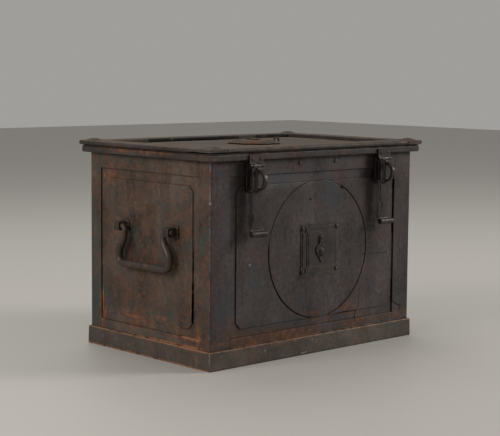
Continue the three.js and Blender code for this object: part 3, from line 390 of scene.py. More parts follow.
# Finishes, one for each material slot of the record. Colours are linear.
finishes = {
    "front_iron": {
        "deep": (0.0162, 0.0128, 0.0125), "middle": (0.0406, 0.0319, 0.0307),
        "light": (0.0766, 0.0626, 0.0603), "cool": (0.0371, 0.0423, 0.0487), "warm": (0.0835, 0.0418, 0.0325),
        "coolShare": 0.6, "warmShare": 0.5, "scale": 7.0, "streaks": 0.34, "rust": 0.06,
        "rustBright": (0.13, 0.050, 0.022), "rustDark": (0.052, 0.026, 0.016), "bare": (0.11, 0.105, 0.105),
        "wear": 0.5, "seam": 0.85, "dust": 0.12, "gloss": 0.5, "metal": 0.3, "pits": 0.9, "hammer": 0.8,
        "shine": 0.28,
    },
    "side_iron": {
        "deep": (0.0286, 0.0193, 0.0154), "middle": (0.0660, 0.0429, 0.0314),
        "light": (0.1078, 0.0770, 0.0605), "cool": (0.0495, 0.0572, 0.0528), "warm": (0.1540, 0.0572, 0.0297),
        "coolShare": 0.75, "warmShare": 0.65, "scale": 7.0, "streaks": 0.5, "rust": 0.12,
        "rustBright": (0.20, 0.084, 0.038), "rustDark": (0.080, 0.036, 0.020), "bare": (0.12, 0.122, 0.124),
        "wear": 0.5, "seam": 0.8, "dust": 0.12, "gloss": 0.54, "metal": 0.25, "pits": 1.0, "hammer": 0.9,
        "shine": 0.28,
    },
    "plinth_iron": {
        "deep": (0.0294, 0.0221, 0.0184), "middle": (0.0546, 0.0431, 0.0357),
        "light": (0.1029, 0.0819, 0.0651), "cool": (0.0525, 0.0494, 0.0473), "warm": (0.1260, 0.0588, 0.0315),
        "coolShare": 0.5, "warmShare": 0.6, "scale": 12.0, "streaks": 0.1, "rust": 0.12,
        "rustBright": (0.25, 0.115, 0.05), "rustDark": (0.085, 0.044, 0.026), "bare": (0.20, 0.13, 0.09),
        "wear": 0.85, "seam": 0.8, "dust": 0.3, "gloss": 0.58, "metal": 0.2, "pits": 1.2, "hammer": 0.7,
        "shine": 0.4,
    },
    "lid_iron": {
        "deep": (0.020, 0.0160, 0.0140), "middle": (0.040, 0.0325, 0.0290), "light": (0.070, 0.058, 0.050),
        "cool": (0.050, 0.054, 0.060), "warm": (0.105, 0.048, 0.028), "coolShare": 0.5, "warmShare": 0.55,
        "scale": 9.0, "streaks": 0.0, "rust": 0.10, "rustBright": (0.20, 0.080, 0.036),
        "rustDark": (0.066, 0.034, 0.021), "bare": (0.17, 0.155, 0.15), "wear": 0.8, "seam": 0.9,
        "dust": 0.75, "gloss": 0.56, "metal": 0.18, "pits": 1.0, "hammer": 1.0, "shine": 0.2,
    },
    "fitting_iron": {
        "deep": (0.0120, 0.0096, 0.0090), "middle": (0.0270, 0.0212, 0.0195), "light": (0.052, 0.041, 0.037),
        "cool": (0.032, 0.032, 0.036), "warm": (0.074, 0.036, 0.025), "coolShare": 0.35, "warmShare": 0.5,
        "scale": 18.0, "streaks": 0.0, "rust": 0.06, "rustBright": (0.14, 0.058, 0.028),
        "rustDark": (0.048, 0.026, 0.017), "bare": (0.20, 0.186, 0.172), "wear": 0.85, "seam": 0.7,
        "dust": 0.08, "gloss": 0.45, "metal": 0.5, "pits": 0.7, "hammer": 0.7, "shine": 0.4,
    },
    "inside_iron": {
        "deep": (0.020, 0.0155, 0.013), "middle": (0.040, 0.030, 0.0245), "light": (0.060, 0.048, 0.041),
        "cool": (0.038, 0.038, 0.038), "warm": (0.085, 0.042, 0.024), "coolShare": 0.4, "warmShare": 0.6,
        "scale": 10.0, "streaks": 0.1, "rust": 0.3, "rustBright": (0.13, 0.058, 0.029),
        "rustDark": (0.050, 0.028, 0.018), "bare": (0.12, 0.12, 0.12), "wear": 0.5, "seam": 0.7, "dust": 0.3,
        "gloss": 0.55, "metal": 0.3, "pits": 1.0, "hammer": 0.6, "shine": 0.4,
    },
}
# Cracks, painted shadows, lines of worn or rusty iron along edges, and chips, for each finish: side, from,
# to, half-width, how broken, share, tone. The lines down the front-left corner and along the plinth's edges
# are partly painted highlight. The widest ones are a painted shadow beside each hasp.
crackAndShadowTone = (0.0030, 0.0025, 0.0022)
orange = (0.27, 0.125, 0.058)
bright = (0.17, 0.175, 0.19)
chip = (0.30, 0.27, 0.24)
scores = {
    "front_iron": [
        ("front", (0.070, -0.199, 0.0772), (0.129, -0.199, 0.0768), 2.0 * mm, 0.3, 0.85, crackAndShadowTone),
        ("front", (0.129, -0.199, 0.0768), (0.125, -0.199, 0.060), 2.6 * mm, 0.1, 0.9, crackAndShadowTone),
        ("front", (0.137, -0.199, 0.123), (0.134, -0.199, 0.083), 2.0 * mm, 0.3, 0.6, crackAndShadowTone),
        ("front", (0.144, -0.199, 0.1985), (0.228, -0.199, 0.197), 1.8 * mm, 0.34, 0.6, crackAndShadowTone),
        ("front", (-0.021, -0.199, 0.3305), (-0.018, -0.199, 0.330), 3.2 * mm, 0.0, 0.85, crackAndShadowTone),
        ("front", (0.0755, -0.199, 0.3515), (0.078, -0.199, 0.350), 5.4 * mm, 0.0, 1.0, crackAndShadowTone),
        # Painted shadow along the right corner strap's inner edge, in the channel beside the panel.
        ("front", (0.2457, -0.199, 0.385), (0.2457, -0.199, 0.240), 4.3 * mm, 0.05, 0.95, crackAndShadowTone),
        ("front", (0.2457, -0.199, 0.135), (0.2457, -0.199, 0.080), 3.6 * mm, 0.05, 0.95, crackAndShadowTone),
        # Painted shadow of each hasp on the front, beside it; it stays there when the hasp swings up.
        ("front", (-0.1985, -0.199, 0.405), (-0.1985, -0.199, 0.276), 26 * mm, 0.5, 0.42, crackAndShadowTone),
        ("front", (-0.1895, -0.199, 0.400), (-0.1895, -0.199, 0.282), 11 * mm, 0.3, 0.62, crackAndShadowTone),
        ("front", (0.1835, -0.199, 0.405), (0.1835, -0.199, 0.276), 26 * mm, 0.5, 0.42, crackAndShadowTone),
        ("front", (0.1925, -0.199, 0.400), (0.1925, -0.199, 0.282), 10 * mm, 0.3, 0.62, crackAndShadowTone),
        ("front", (-0.1916, -0.199, 0.2059), (-0.1914, -0.199, 0.2052), 2.4 * mm, 0.0, 0.8, chip),
        ("front", (-0.29, -0.199, 0.0405), (0.29, -0.199, 0.0405), 2.2 * mm, 0.46, 0.4, orange),
    ],
    "side_iron": [
        # Painted highlight, partly worn iron, down the front-left corner's edge.
        ("front", (-0.2993, -0.197, 0.255), (-0.2993, -0.197, 0.418), 1.1 * mm, 0.44, 0.5, bright),
        ("front", (-0.2993, -0.197, 0.060), (-0.2993, -0.197, 0.250), 0.9 * mm, 0.5, 0.35, bright),
        ("front", (-0.2985, -0.197, 0.3385), (-0.2985, -0.197, 0.336), 1.5 * mm, 0.0, 0.6, chip),
        ("left", (-0.300, -0.1425, 0.235), (-0.300, -0.1425, 0.170), 2.2 * mm, 0.1, 0.9, crackAndShadowTone),
        ("left", (-0.300, -0.1425, 0.170), (-0.300, -0.1415, 0.092), 3.6 * mm, 0.1, 0.95, crackAndShadowTone),
        ("front", (0.2475, -0.199, 0.084), (0.2619, -0.199, 0.0750), 2.2 * mm, 0.1, 0.85, crackAndShadowTone),
        ("front", (0.2619, -0.199, 0.0750), (0.2758, -0.199, 0.0715), 2.2 * mm, 0.1, 0.85, crackAndShadowTone),
        ("front", (0.2758, -0.199, 0.0715), (0.2692, -0.199, 0.063), 2.0 * mm, 0.1, 0.85, crackAndShadowTone),
        ("left", (-0.300, 0.150, 0.0765), (-0.300, -0.100, 0.0765), 2.6 * mm, 0.47, 0.8, orange),
        ("left", (-0.300, -0.110, 0.0585), (-0.300, -0.158, 0.0585), 2.6 * mm, 0.35, 0.8, orange),
        ("left", (-0.300, 0.050, 0.0405), (-0.300, -0.160, 0.0405), 2.4 * mm, 0.42, 0.8, orange),
        ("left", (-0.300, -0.160, 0.044), (-0.300, -0.160, 0.090), 2.0 * mm, 0.45, 0.7, orange),
        ("left", (-0.300, 0.158, 0.060), (-0.300, 0.158, 0.150), 2.0 * mm, 0.45, 0.7, orange),
    ],
    "lid_iron": [
        # Painted shadow in the channel along the lid panel's back and right edges, under the rims' inner
        # faces.
        ("top", (-0.160, 0.1665, 0.439), (0.105, 0.1665, 0.439), 4.5 * mm, 0.3, 0.75, crackAndShadowTone),
        ("top", (0.165, 0.1665, 0.439), (0.262, 0.1665, 0.439), 4 * mm, 0.3, 0.75, crackAndShadowTone),
        ("top", (0.2665, 0.158, 0.439), (0.2665, 0.020, 0.439), 3.5 * mm, 0.4, 0.65, crackAndShadowTone),
    ],
    "plinth_iron": [
        # Orange lines along the plinth's top and bottom edges: partly rust, partly painted highlight.
        ("front", (-0.304, -0.202, 0.0385), (0.304, -0.202, 0.0385), 2.0 * mm, 0.44, 0.45, orange),
        ("left", (-0.304, -0.202, 0.0385), (-0.304, 0.202, 0.0385), 2.4 * mm, 0.36, 0.8, orange),
        ("left", (-0.304, -0.202, 0.001), (-0.304, 0.202, 0.001), 3.2 * mm, 0.4, 0.8, orange),
        ("front", (-0.3035, -0.202, 0.002), (-0.3035, -0.202, 0.037), 0.9 * mm, 0.4, 0.35, chip),
        ("front", (-0.014, -0.202, 0.0304), (-0.0135, -0.202, 0.030), 2.4 * mm, 0.0, 0.6, chip),
        ("front", (-0.1525, -0.202, 0.0241), (-0.151, -0.202, 0.024), 2.0 * mm, 0.0, 0.6, chip),
        ("front", (-0.0454, -0.202, 0.0043), (-0.030, -0.202, 0.006), 1.8 * mm, 0.3, 0.5, chip),
    ],
}
# Depth counts for little, so that a line stays on a plate that sags.
lineWeights = {"front": (1, 0.2, 1), "left": (0.2, 1, 1), "top": (1, 1, 0.2)}
dustTone = (0.122, 0.087, 0.056)
# Near black, for grime and painted shade in the seams and for shadeMark's painted shadow.
grimeAndShadeTone = (0.0065, 0.0052, 0.0045)
# How the effects act on every finish
surface = {
    "edgeWidth": 1.8 * mm, "seamReach": 7 * mm, "chipShare": 0.5, "shadeShare": 0.85, "seamSunk": 0.7,
    "smoother": 0.09, "rougher": 0.13,      # how far the mottle moves a finish's gloss
    "rustRough": 0.22, "dustRough": 0.35, "edgeRough": -0.1, "edgeMetal": 0.35,
    "relief": 0.6, "reliefDepth": 0.9 * mm, "crust": 0.35, "crustDepth": 0.4 * mm,
}


def opaque(tone):
    return (*tone, 1)


def ironMaterial(slot):
    finish = finishes[slot]
    material = bpy.data.materials.new(slot)
    material.use_nodes = True
    tree = material.node_tree
    tree.nodes.clear()
    place = put(tree, "ShaderNodeTexCoord").outputs["Object"]

    def mark(kind):
        return put(tree, "ShaderNodeAttribute", attribute_name=kind).outputs["Fac"]

    def toneOf(finish):
        return effect(tree, "tone", {
            "Place": place, "Deep": opaque(finish["deep"]), "Middle": opaque(finish["middle"]),
            "Light": opaque(finish["light"]), "Cool": opaque(finish["cool"]), "Warm": opaque(finish["warm"]),
            "Scale": finish["scale"], "Streaks": finish["streaks"], "Cool Share": finish["coolShare"],
            "Warm Share": finish["warmShare"], "Cool Mark": mark("coolMark"), "Pale Mark": mark("paleMark"),
        }).outputs["Colour"]

    tone = toneOf(finish)
    if slot == "side_iron":
        # The legs of the corner angles that lie on the front and back take the front's colours.
        facing = put(tree, "ShaderNodeSeparateXYZ", {0: put(tree, "ShaderNodeTexCoord").outputs["Normal"]})
        ahead = stretch(tree, calculate(tree, "ABSOLUTE", facing.outputs["Y"]), 0.4, 0.8)
        tone = blendColours(tree, ahead, tone, toneOf(finishes["front_iron"]))
    grain = effect(tree, "grain", {"Place": place, "Pits": finish["pits"], "Hammer": finish["hammer"]})
    edge = effect(tree, "edge", {"Place": place, "Width": surface["edgeWidth"], "Amount": finish["wear"]})
    seam = effect(tree, "seam", {"Place": place, "Reach": surface["seamReach"], "Amount": finish["seam"]})
    rust = effect(tree, "rust", {
        "Place": place, "Amount": finish["rust"], "Seam": seam.outputs["Mask"], "Painted": mark("rustMark"),
        "Bright": opaque(finish["rustBright"]), "Dark": opaque(finish["rustDark"]),
    })
    dust = effect(tree, "dust", {"Place": place, "Amount": finish["dust"]})
    chips = calculate(tree, "MULTIPLY", grain.outputs["Chips"], surface["chipShare"])
    shaded = calculate(tree, "MULTIPLY", mark("shadeMark"), surface["shadeShare"])
    skin = blendColours(tree, edge.outputs["Mask"], tone, opaque(finish["bare"]))
    skin = blendColours(tree, chips, skin, opaque(finish["bare"]))
    skin = blendColours(tree, rust.outputs["Mask"], skin, rust.outputs["Colour"])
    skin = blendColours(tree, dust.outputs["Mask"], skin, opaque(dustTone))
    # Dark grime and painted shade in the seams.
    skin = blendColours(tree, seam.outputs["Mask"], skin, opaque(grimeAndShadeTone))
    skin = blendColours(tree, shaded, skin, opaque(grimeAndShadeTone))
    sunk = calculate(tree, "MULTIPLY", seam.outputs["Mask"], surface["seamSunk"])
    for side, first, last, width, broken, share, score in scores.get(slot, []):
        flat = lineWeights[side]
        ends = [tuple(part * weight for part, weight in zip(end, flat)) for end in (first, last)]
        pressed = put(tree, "ShaderNodeVectorMath", {0: place, 1: flat}, operation="MULTIPLY").outputs[0]
        scored = effect(tree, "cut", {
            "Place": pressed, "From": ends[0], "To": ends[1], "Width": width, "Broken": broken,
        })
        shown = calculate(tree, "MULTIPLY", scored.outputs["Mask"], share)
        skin = blendColours(tree, shown, skin, opaque(score))
        if score == crackAndShadowTone:
            sunk = calculate(tree, "MAXIMUM", sunk, shown)
    smoothest, roughest = finish["gloss"] - surface["smoother"], finish["gloss"] + surface["rougher"]
    rough = stretch(tree, grain.outputs["Mottle"], 0.3, 0.7, smoothest, roughest)
    for over, change in ((rust, "rustRough"), (dust, "dustRough"), (edge, "edgeRough")):
        rough = calculate(tree, "MULTIPLY_ADD", over.outputs["Mask"], surface[change], rough)
    metal = calculate(tree, "MULTIPLY_ADD", rust.outputs["Mask"], -finish["metal"], finish["metal"])
    metal = calculate(tree, "MULTIPLY_ADD", edge.outputs["Mask"], surface["edgeMetal"], metal)
    # Black metal gives back hardly any light, which keeps cracks and seams dark.
    metal = calculate(tree, "MAXIMUM", metal, sunk)
    relief = put(tree, "ShaderNodeBump", {
        "Height": grain.outputs["Height"], "Strength": surface["relief"], "Distance": surface["reliefDepth"],
    })
    crust = put(tree, "ShaderNodeBump", {
        "Height": rust.outputs["Mask"], "Strength": surface["crust"], "Distance": surface["crustDepth"],
        "Normal": relief.outputs[0],
    })
    shader = put(tree, "ShaderNodeBsdfPrincipled", {
        "Base Color": skin, "Roughness": rough, "Metallic": metal, "Normal": crust.outputs[0],
        "Specular IOR Level": finish["shine"],
    })
    put(tree, "ShaderNodeOutputMaterial", {"Surface": shader.outputs[0]})
    return material


irons = {slot: ironMaterial(slot) for slot in finishes}
print("finishes ready:", ", ".join(irons))


# The plates are old: each side of the chest sags a little inwards, never out past the new iron.
ageing = {
    "dent": 1.1 * mm, "dentSize": 0.17, "ripple": 0.35 * mm, "rippleSize": 0.045,
    "depth": 0.03,      # how far in a plate still sags
    "stiffNear": 0.05,      # above the floor
    "calm": 0.09,      # round the keyhole plate, which stays flat
    "lidFrom": 0.4335, "lidOver": 0.002,
}
dentSeeds = {"right": 3.0, "left": 9.0, "back": 15.0, "front": 21.0, "top": 31.0}


def easeIn(value):
    value = min(max(value, 0.0), 1.0)
    return value * value * (3 - 2 * value)


def sunken(u, w, seed):
    broad = noise.noise(Vector((u / ageing["dentSize"], w / ageing["dentSize"], seed)))
    small = noise.noise(Vector((u / ageing["rippleSize"], w / ageing["rippleSize"], seed + 5)))
    return ageing["dent"] * (0.5 + 0.5 * broad) + ageing["ripple"] * (0.5 + 0.5 * small)


def aged(place):
    x, y, z = place
    depth = ageing["depth"]
    atSide = easeIn((abs(x) - halfWidth + depth) / (depth / 2))
    atFront = easeIn((abs(y) - halfDepth + depth) / (depth / 2))
    away = (x - discMiddle[0]) ** 2 + (z - discMiddle[1]) ** 2
    calm = 1 - math.exp(-away / ageing["calm"] ** 2) if y < 0 else 1
    free = easeIn(z / ageing["stiffNear"])
    if atSide:
        x -= math.copysign(atSide * free * sunken(y, z, dentSeeds["right" if x > 0 else "left"]), x)
    if atFront:
        seed = dentSeeds["back" if y > 0 else "front"]
        y -= math.copysign(atFront * free * calm * sunken(place[0], z, seed), y)
    return Vector((x, y, z))


def lidAged(place):
    aside = aged(place)
    lift = easeIn((place[2] - ageing["lidFrom"]) / ageing["lidOver"])
    aside.z = place[2] - lift * sunken(place[0], place[1], dentSeeds["top"])
    return aside


# Stains: side, middle (along the side, height), half-size, strength, kind
markKinds = ("rustMark", "coolMark", "paleMark", "shadeMark")
marks = [
    ("left", (0.034, 0.076), (0.040, 0.007), 0.8, "rustMark"),
    ("left", (-0.02, 0.085), (0.150, 0.010), 0.42, "rustMark"),
    ("left", (0.02, 0.062), (0.050, 0.005), 0.7, "rustMark"),
    ("left", (-0.128, 0.060), (0.048, 0.005), 0.9, "rustMark"),
    ("left", (-0.130, 0.040), (0.060, 0.004), 0.8, "rustMark"),
    ("left", (0.157, 0.080), (0.008, 0.070), 0.6, "rustMark"),
    ("left", (-0.160, 0.070), (0.006, 0.050), 0.7, "rustMark"),
    ("left", (0.128, 0.372), (0.042, 0.020), 0.42, "rustMark"),
    ("left", (-0.030, 0.392), (0.120, 0.012), 0.25, "rustMark"),
    ("left", (0.020, 0.170), (0.140, 0.040), 0.2, "rustMark"),
    ("left", (-0.020, 0.310), (0.120, 0.040), 0.16, "rustMark"),
    ("left", (-0.060, 0.335), (0.050, 0.028), 0.45, "coolMark"),
    ("left", (0.095, 0.320), (0.030, 0.040), 0.4, "coolMark"),
    ("left", (-0.125, 0.230), (0.014, 0.050), 0.5, "coolMark"),
    ("left", (-0.138, 0.330), (0.012, 0.060), 0.7, "coolMark"),
    ("left", (0.180, 0.130), (0.022, 0.120), 1.2, "coolMark"),
    ("left", (0.140, 0.110), (0.010, 0.060), 0.8, "coolMark"),
    ("left", (0.000, 0.066), (0.100, 0.016), 0.6, "coolMark"),
    ("left", (0.010, 0.050), (0.090, 0.008), 0.6, "paleMark"),
    ("left", (0.125, 0.134), (0.040, 0.040), 0.25, "shadeMark"),
    ("left", (0.0, 0.430), (0.200, 0.006), 0.66, "rustMark"),
    ("front", (-0.262, 0.130), (0.034, 0.060), 1.2, "coolMark"),
    ("front", (-0.262, 0.300), (0.012, 0.060), 0.8, "coolMark"),
    ("front", (-0.103, 0.378), (0.080, 0.014), 1.8, "coolMark"),
    ("front", (-0.090, 0.374), (0.090, 0.014), 1.5, "paleMark"),
    ("front", (0.040, 0.330), (0.060, 0.040), 0.6, "coolMark"),
    ("front", (-0.160, 0.110), (0.050, 0.030), 0.6, "coolMark"),
    ("front", (-0.120, 0.050), (0.170, 0.012), 0.85, "rustMark"),
    ("front", (0.150, 0.052), (0.130, 0.013), 0.66, "rustMark"),
    ("front", (0.275, 0.230), (0.030, 0.200), 0.34, "shadeMark"),
    ("front", (-0.218, 0.345), (0.012, 0.075), 0.6, "shadeMark"),
    ("front", (0.164, 0.345), (0.012, 0.080), 0.6, "shadeMark"),
    ("front", (0.030, 0.070), (0.045, 0.008), 0.75, "rustMark"),
    ("front", (0.002, 0.084), (0.028, 0.007), 0.7, "rustMark"),
    ("front", (0.100, 0.085), (0.028, 0.012), 0.6, "rustMark"),
    ("front", (0.085, 0.120), (0.060, 0.045), 0.18, "rustMark"),
    ("front", (-0.120, 0.040), (0.170, 0.003), 0.6, "rustMark"),
    ("front", (-0.236, 0.060), (0.006, 0.040), 0.6, "rustMark"),
    ("front", (0.020, 0.400), (0.240, 0.014), 0.2, "rustMark"),
    ("front", (-0.192, 0.425), (0.020, 0.010), 0.5, "rustMark"),
    ("front", (-0.3035, 0.424), (0.005, 0.005), 1.0, "rustMark"),
    ("right", (0.060, 0.090), (0.090, 0.020), 0.5, "rustMark"),
    ("right", (-0.080, 0.300), (0.070, 0.060), 0.8, "coolMark"),
    ("back", (0.080, 0.070), (0.130, 0.016), 0.6, "rustMark"),
    ("back", (-0.120, 0.280), (0.080, 0.070), 0.8, "coolMark"),
    ("top", (-0.030, -0.030), (0.045, 0.045), 0.5, "rustMark"),
    ("top", (-0.125, -0.150), (0.040, 0.030), 0.5, "rustMark"),
    ("top", (0.120, -0.190), (0.120, 0.020), 0.6, "coolMark"),
]


def readPoints(mesh, name="co"):
    values = numpy.empty(len(mesh.vertices) * 3)
    mesh.vertices.foreach_get(name, values)
    return values.reshape(-1, 3)


# A stain reaches the points past these on its side.
stainFrom = {"front": 0.18, "side": 0.28, "top": 0.43}


def sidePlace(side, places):
    x, y, z = places.T
    return {
        "front": (x, z, y < -stainFrom["front"]), "back": (x, z, y > stainFrom["front"]),
        "left": (y, z, x < -stainFrom["side"]), "right": (y, z, x > stainFrom["side"]),
        "top": (x, y, z > stainFrom["top"]),
    }[side]


def paintMarks(mesh, tint):
    places = readPoints(mesh)
    for kind in markKinds:
        total = numpy.full(len(places), tint.get(kind, 0.0))
        for side, middle, half, strength, markKind in marks:
            if markKind == kind:
                u, w, onSide = sidePlace(side, places)
                far = ((u - middle[0]) / half[0]) ** 2 + ((w - middle[1]) / half[1]) ** 2
                total = numpy.maximum(total, onSide * strength * numpy.exp(-far))
        mesh.attributes.new(kind, "FLOAT", "POINT").data.foreach_set("value", total)


# Ways to dress a CAD node
weld, planeSlack = 1e-6, 1e-7
flatAngle, creaseAngle = math.radians(1), math.radians(42)


def clearCopy(name):
    shape = bmesh.new()
    shape.from_mesh(nodes[name].data)
    bmesh.ops.remove_doubles(shape, verts=shape.verts, dist=weld)
    return shape


def gridCut(shape, step):
    for axis in range(3):
        low = min(vertex.co[axis] for vertex in shape.verts)
        high = max(vertex.co[axis] for vertex in shape.verts)
        count = round((high - low) / step)
        across = Vector([1.0 if other == axis else 0.0 for other in range(3)])
        for cut in range(1, count):
            everything = shape.verts[:] + shape.edges[:] + shape.faces[:]
            middle = across * (low + (high - low) * cut / count)
            bmesh.ops.bisect_plane(shape, geom=everything, dist=planeSlack, plane_co=middle, plane_no=across)


def settle(piece):
    # Turns the piece with its modifiers into a plain mesh.
    bpy.context.view_layer.update()
    solid = bpy.data.meshes.new_from_object(piece.evaluated_get(bpy.context.evaluated_depsgraph_get()))
    piece.modifiers.clear()
    old = piece.data
    piece.data = solid
    bpy.data.meshes.remove(old)


def pieceFrom(shape, name, slot):
    mesh = bpy.data.meshes.new(name)
    shape.to_mesh(mesh)
    shape.free()
    mesh.materials.append(irons[slot])
    piece = bpy.data.objects.new(name, mesh)
    bpy.context.scene.collection.objects.link(piece)
    return piece


def smooth(mesh):
    mesh.polygons.foreach_set("use_smooth", [True] * len(mesh.polygons))
    mesh.set_sharp_from_angle(angle=creaseAngle)


def finishPiece(piece, body, slot, *replaced, tint=None):
    smooth(piece.data)
    paintMarks(piece.data, tint or {})
    if replaced:
        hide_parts(*replaced)
    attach(piece, body)


def keepInBox(mesh, name):
    low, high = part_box(name)
    kept = numpy.clip(readPoints(mesh), numpy.array(low), numpy.array(high))
    mesh.vertices.foreach_set("co", kept.ravel())


# A plate keeps its CAD outline, gets rounded worn edges and is cut fine enough to sag. Rounding and step
# are in mm, the limit of what counts as an edge is in degrees.
def wornPlate(name, rounding=0.8, segments=2, step=10.0, sag=aged, shift=None, limit=38):
    shape = clearCopy(name)
    bmesh.ops.dissolve_limit(shape, angle_limit=flatAngle, verts=shape.verts, edges=shape.edges)
    sharp = [e for e in shape.edges if e.is_manifold and e.calc_face_angle(0) > math.radians(limit)]
    bmesh.ops.bevel(
        shape, geom=sharp, offset=rounding * mm, offset_type="OFFSET", segments=segments, profile=0.5,
        affect="EDGES", clamp_overlap=True,
    )
    gridCut(shape, step * mm)
    bmesh.ops.recalc_face_normals(shape, faces=shape.faces)
    for vertex in shape.verts:
        if shift:
            vertex.co = shift(vertex.co)
        vertex.co = sag(vertex.co)
    piece = pieceFrom(shape, name + "_dressed", slotOf[name])
    keepInBox(piece.data, name)
    smooth(piece.data)
    piece.modifiers.new("weigh", "WEIGHTED_NORMAL").keep_sharp = True
    settle(piece)
    paintMarks(piece.data, {})
    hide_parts(name)
    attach(piece, nodes[name]["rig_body"])


# A forged piece is remeshed finely and worn smooth, as iron that was hammered round. Sizes are in mm.
def forgedPiece(name, grain=0.8, wearSteps=4, hammer=0.12, hammerSize=9.0, swell=None, tint=None):
    shape = clearCopy(name)
    piece = pieceFrom(shape, name + "_dressed", slotOf[name])
    mesher = piece.modifiers.new("mesher", "REMESH")
    mesher.mode = "VOXEL"
    mesher.voxel_size = grain * mm
    wearer = piece.modifiers.new("wearer", "SMOOTH")
    wearer.factor = 0.5
    wearer.iterations = wearSteps
    settle(piece)
    mesh = piece.data
    places, outward = readPoints(mesh), readPoints(mesh, "normal")
    strikes = numpy.array([noise.noise(Vector(place)) for place in places / (hammerSize * mm)]) - 0.5
    push = hammer * mm * strikes
    if swell:
        push = push + swell(places)
    places = places + outward * push[:, None]
    mesh.vertices.foreach_set("co", places.ravel())
    keepInBox(mesh, name)
    finishPiece(piece, nodes[name]["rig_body"], slotOf[name], name, tint=tint)


# The handles' arms are nearly as thick as their bars.
arm = {"low": 0.206, "lowOver": 0.014, "high": 0.256, "highOver": 0.012, "swell": 1.3 * mm}
handleTint = {"paleMark": 1.0, "rustMark": 0.28}


def armSwell(places):
    up = places[:, 2]
    above = numpy.clip((up - arm["low"]) / arm["lowOver"], 0, 1)
    below = numpy.clip((arm["high"] - up) / arm["highOver"], 0, 1)
    return arm["swell"] * (above * below)


# Small shifts of form that only this chest has. Angles are in degrees.
groove = {
    "discFrom": 0.135, "discLean": 2.2 * mm, "discTurn": 0.35, "discOver": 0.45,
    "panelTo": 0.156, "panelLean": 2.0 * mm, "panelLow": 61, "panelHigh": 95, "panelOver": 5,
}
rims = {
    "below": 0.4395,      # a rim's underside lies below this
    "lift": 2.0 * mm, "liftEnd": -0.222, "liftOver": 0.03, "liftFront": -0.15,
    "bow": 3.0 * mm, "bowMiddle": -0.02, "bowReach": 0.11, "bowInner": 0.185,
}


def fromDisc(place):
    aside, up = place.x - discMiddle[0], place.z - discMiddle[1]
    return aside, up, math.hypot(aside, up)


def discShifted(place):
    # The round plate closes its groove at the upper left.
    aside, up, radius = fromDisc(place)
    if radius < groove["discFrom"]:
        return place
    towards = (up - aside) / (radius * math.sqrt(2))
    lean = groove["discLean"] * easeIn((towards - groove["discTurn"]) / groove["discOver"]) / radius
    return Vector((place.x + aside * lean, place.y, place.z + up * lean))


def grooveClosed(place):
    # The right panel's edge closes the groove above the crack's round end.
    aside, up, radius = fromDisc(place)
    if radius > groove["panelTo"]:
        return place
    angle, over = math.degrees(math.atan2(up, aside)), groove["panelOver"]
    rising = easeIn((angle - groove["panelLow"]) / over)
    falling = easeIn((groove["panelHigh"] - angle) / over)
    lean = groove["panelLean"] * rising * falling / radius
    return Vector((place.x - aside * lean, place.y, place.z - up * lean))


def rimLifted(place):
    # The front rim has sprung up off the lid plate near its left end.
    front = place.y < rims["liftFront"] and place.z < rims["below"]
    sprung = easeIn((rims["liftEnd"] - place.x) / rims["liftOver"]) if front else 0
    return Vector((place.x, place.y, place.z + rims["lift"] * sprung))


def rimBowed(place):
    # The back rim's inner edge has bowed up off the panel.
    inner = place.y < rims["bowInner"] and place.z < rims["below"]
    away = (place.x - rims["bowMiddle"]) / rims["bowReach"]
    rise = rims["bow"] * math.exp(-away ** 2) if inner else 0
    return Vector((place.x, place.y, place.z + rise))


formShifts = {
    "lid_rim_front": rimLifted, "lid_rim_left": rimLifted, "lid_rim_back": rimBowed,
    "front_disc": discShifted, "front_panel_right": grooveClosed,
}

for name in ("front_wall", "back_wall", "left_wall", "right_wall"):
    wornPlate(name, rounding=0.4, step=16)
for end in ("front", "back"):
    for hand in ("left", "right"):
        wornPlate(f"corner_angle_{end}_{hand}", rounding=0.8)
for side in ("front", "back", "left", "right"):
    wornPlate("top_strip_" + side, rounding=0.6)
    wornPlate("bottom_strip_" + side, rounding=0.9)
for name in ("front_panel_left", "front_panel_right", "back_panel", "side_panel_left", "side_panel_right"):
    wornPlate(name, rounding=0.9, shift=formShifts.get(name))
wornPlate("front_disc", rounding=0.7, shift=formShifts["front_disc"])
wornPlate("plinth_band", rounding=0.9, step=10)
print("chest plates dressed")

wornPlate("lid_band", rounding=1.2, sag=lidAged)
wornPlate("lid_plate", rounding=0.5, sag=lidAged, step=20)
wornPlate("lid_panel", rounding=0.7, sag=lidAged)
for side in ("front", "back", "left", "right"):
    shift = formShifts.get("lid_rim_" + side)
    wornPlate("lid_rim_" + side, rounding=1.6, segments=3, sag=lidAged, step=10, limit=30, shift=shift)
print("lid dressed")

wornPlate("front_escutcheon", rounding=0.35, sag=Vector)
forgedPiece("front_keyhole_cover", grain=0.6, wearSteps=3)
forgedPiece("lid_ornament", grain=0.9, wearSteps=3)
forgedPiece("lid_keyhole_cover", grain=0.6, wearSteps=3)
for hand in ("left", "right"):
    forgedPiece(
        "handle_" + hand, grain=1.1, wearSteps=6, hammer=0.5, hammerSize=22, swell=armSwell, tint=handleTint,
    )
    for end in ("front", "back"):
        forgedPiece(f"handle_staple_{hand}_{end}", grain=0.8, wearSteps=5, hammer=0.3, tint={"paleMark": 0.5})
    forgedPiece("hasp_" + hand, grain=0.8, wearSteps=4, hammer=0.35, hammerSize=14)
    forgedPiece("hasp_bracket_" + hand, grain=0.6, wearSteps=3, hammer=0.2)
    forgedPiece("hasp_plate_" + hand, grain=0.8, wearSteps=3, hammer=0.2)
    forgedPiece("padlock_eye_" + hand, grain=0.7, wearSteps=5, hammer=0.3)
    forgedPiece("chest_hinge_" + hand, grain=0.8, wearSteps=3, hammer=0.2)
    forgedPiece("lid_hinge_" + hand, grain=0.8, wearSteps=3, hammer=0.2)
print("fittings forged")

insideNodes = (
    "floor_plate", "mouth_flange", "lock_plate", "lock_cam", "bolt_left", "bolt_right", "bolt_front",
    "bolt_back",
)
for name in insideNodes:
    nodes[name].data.materials.clear()
    nodes[name].data.materials.append(irons[slotOf[name]])
print("inside finished")


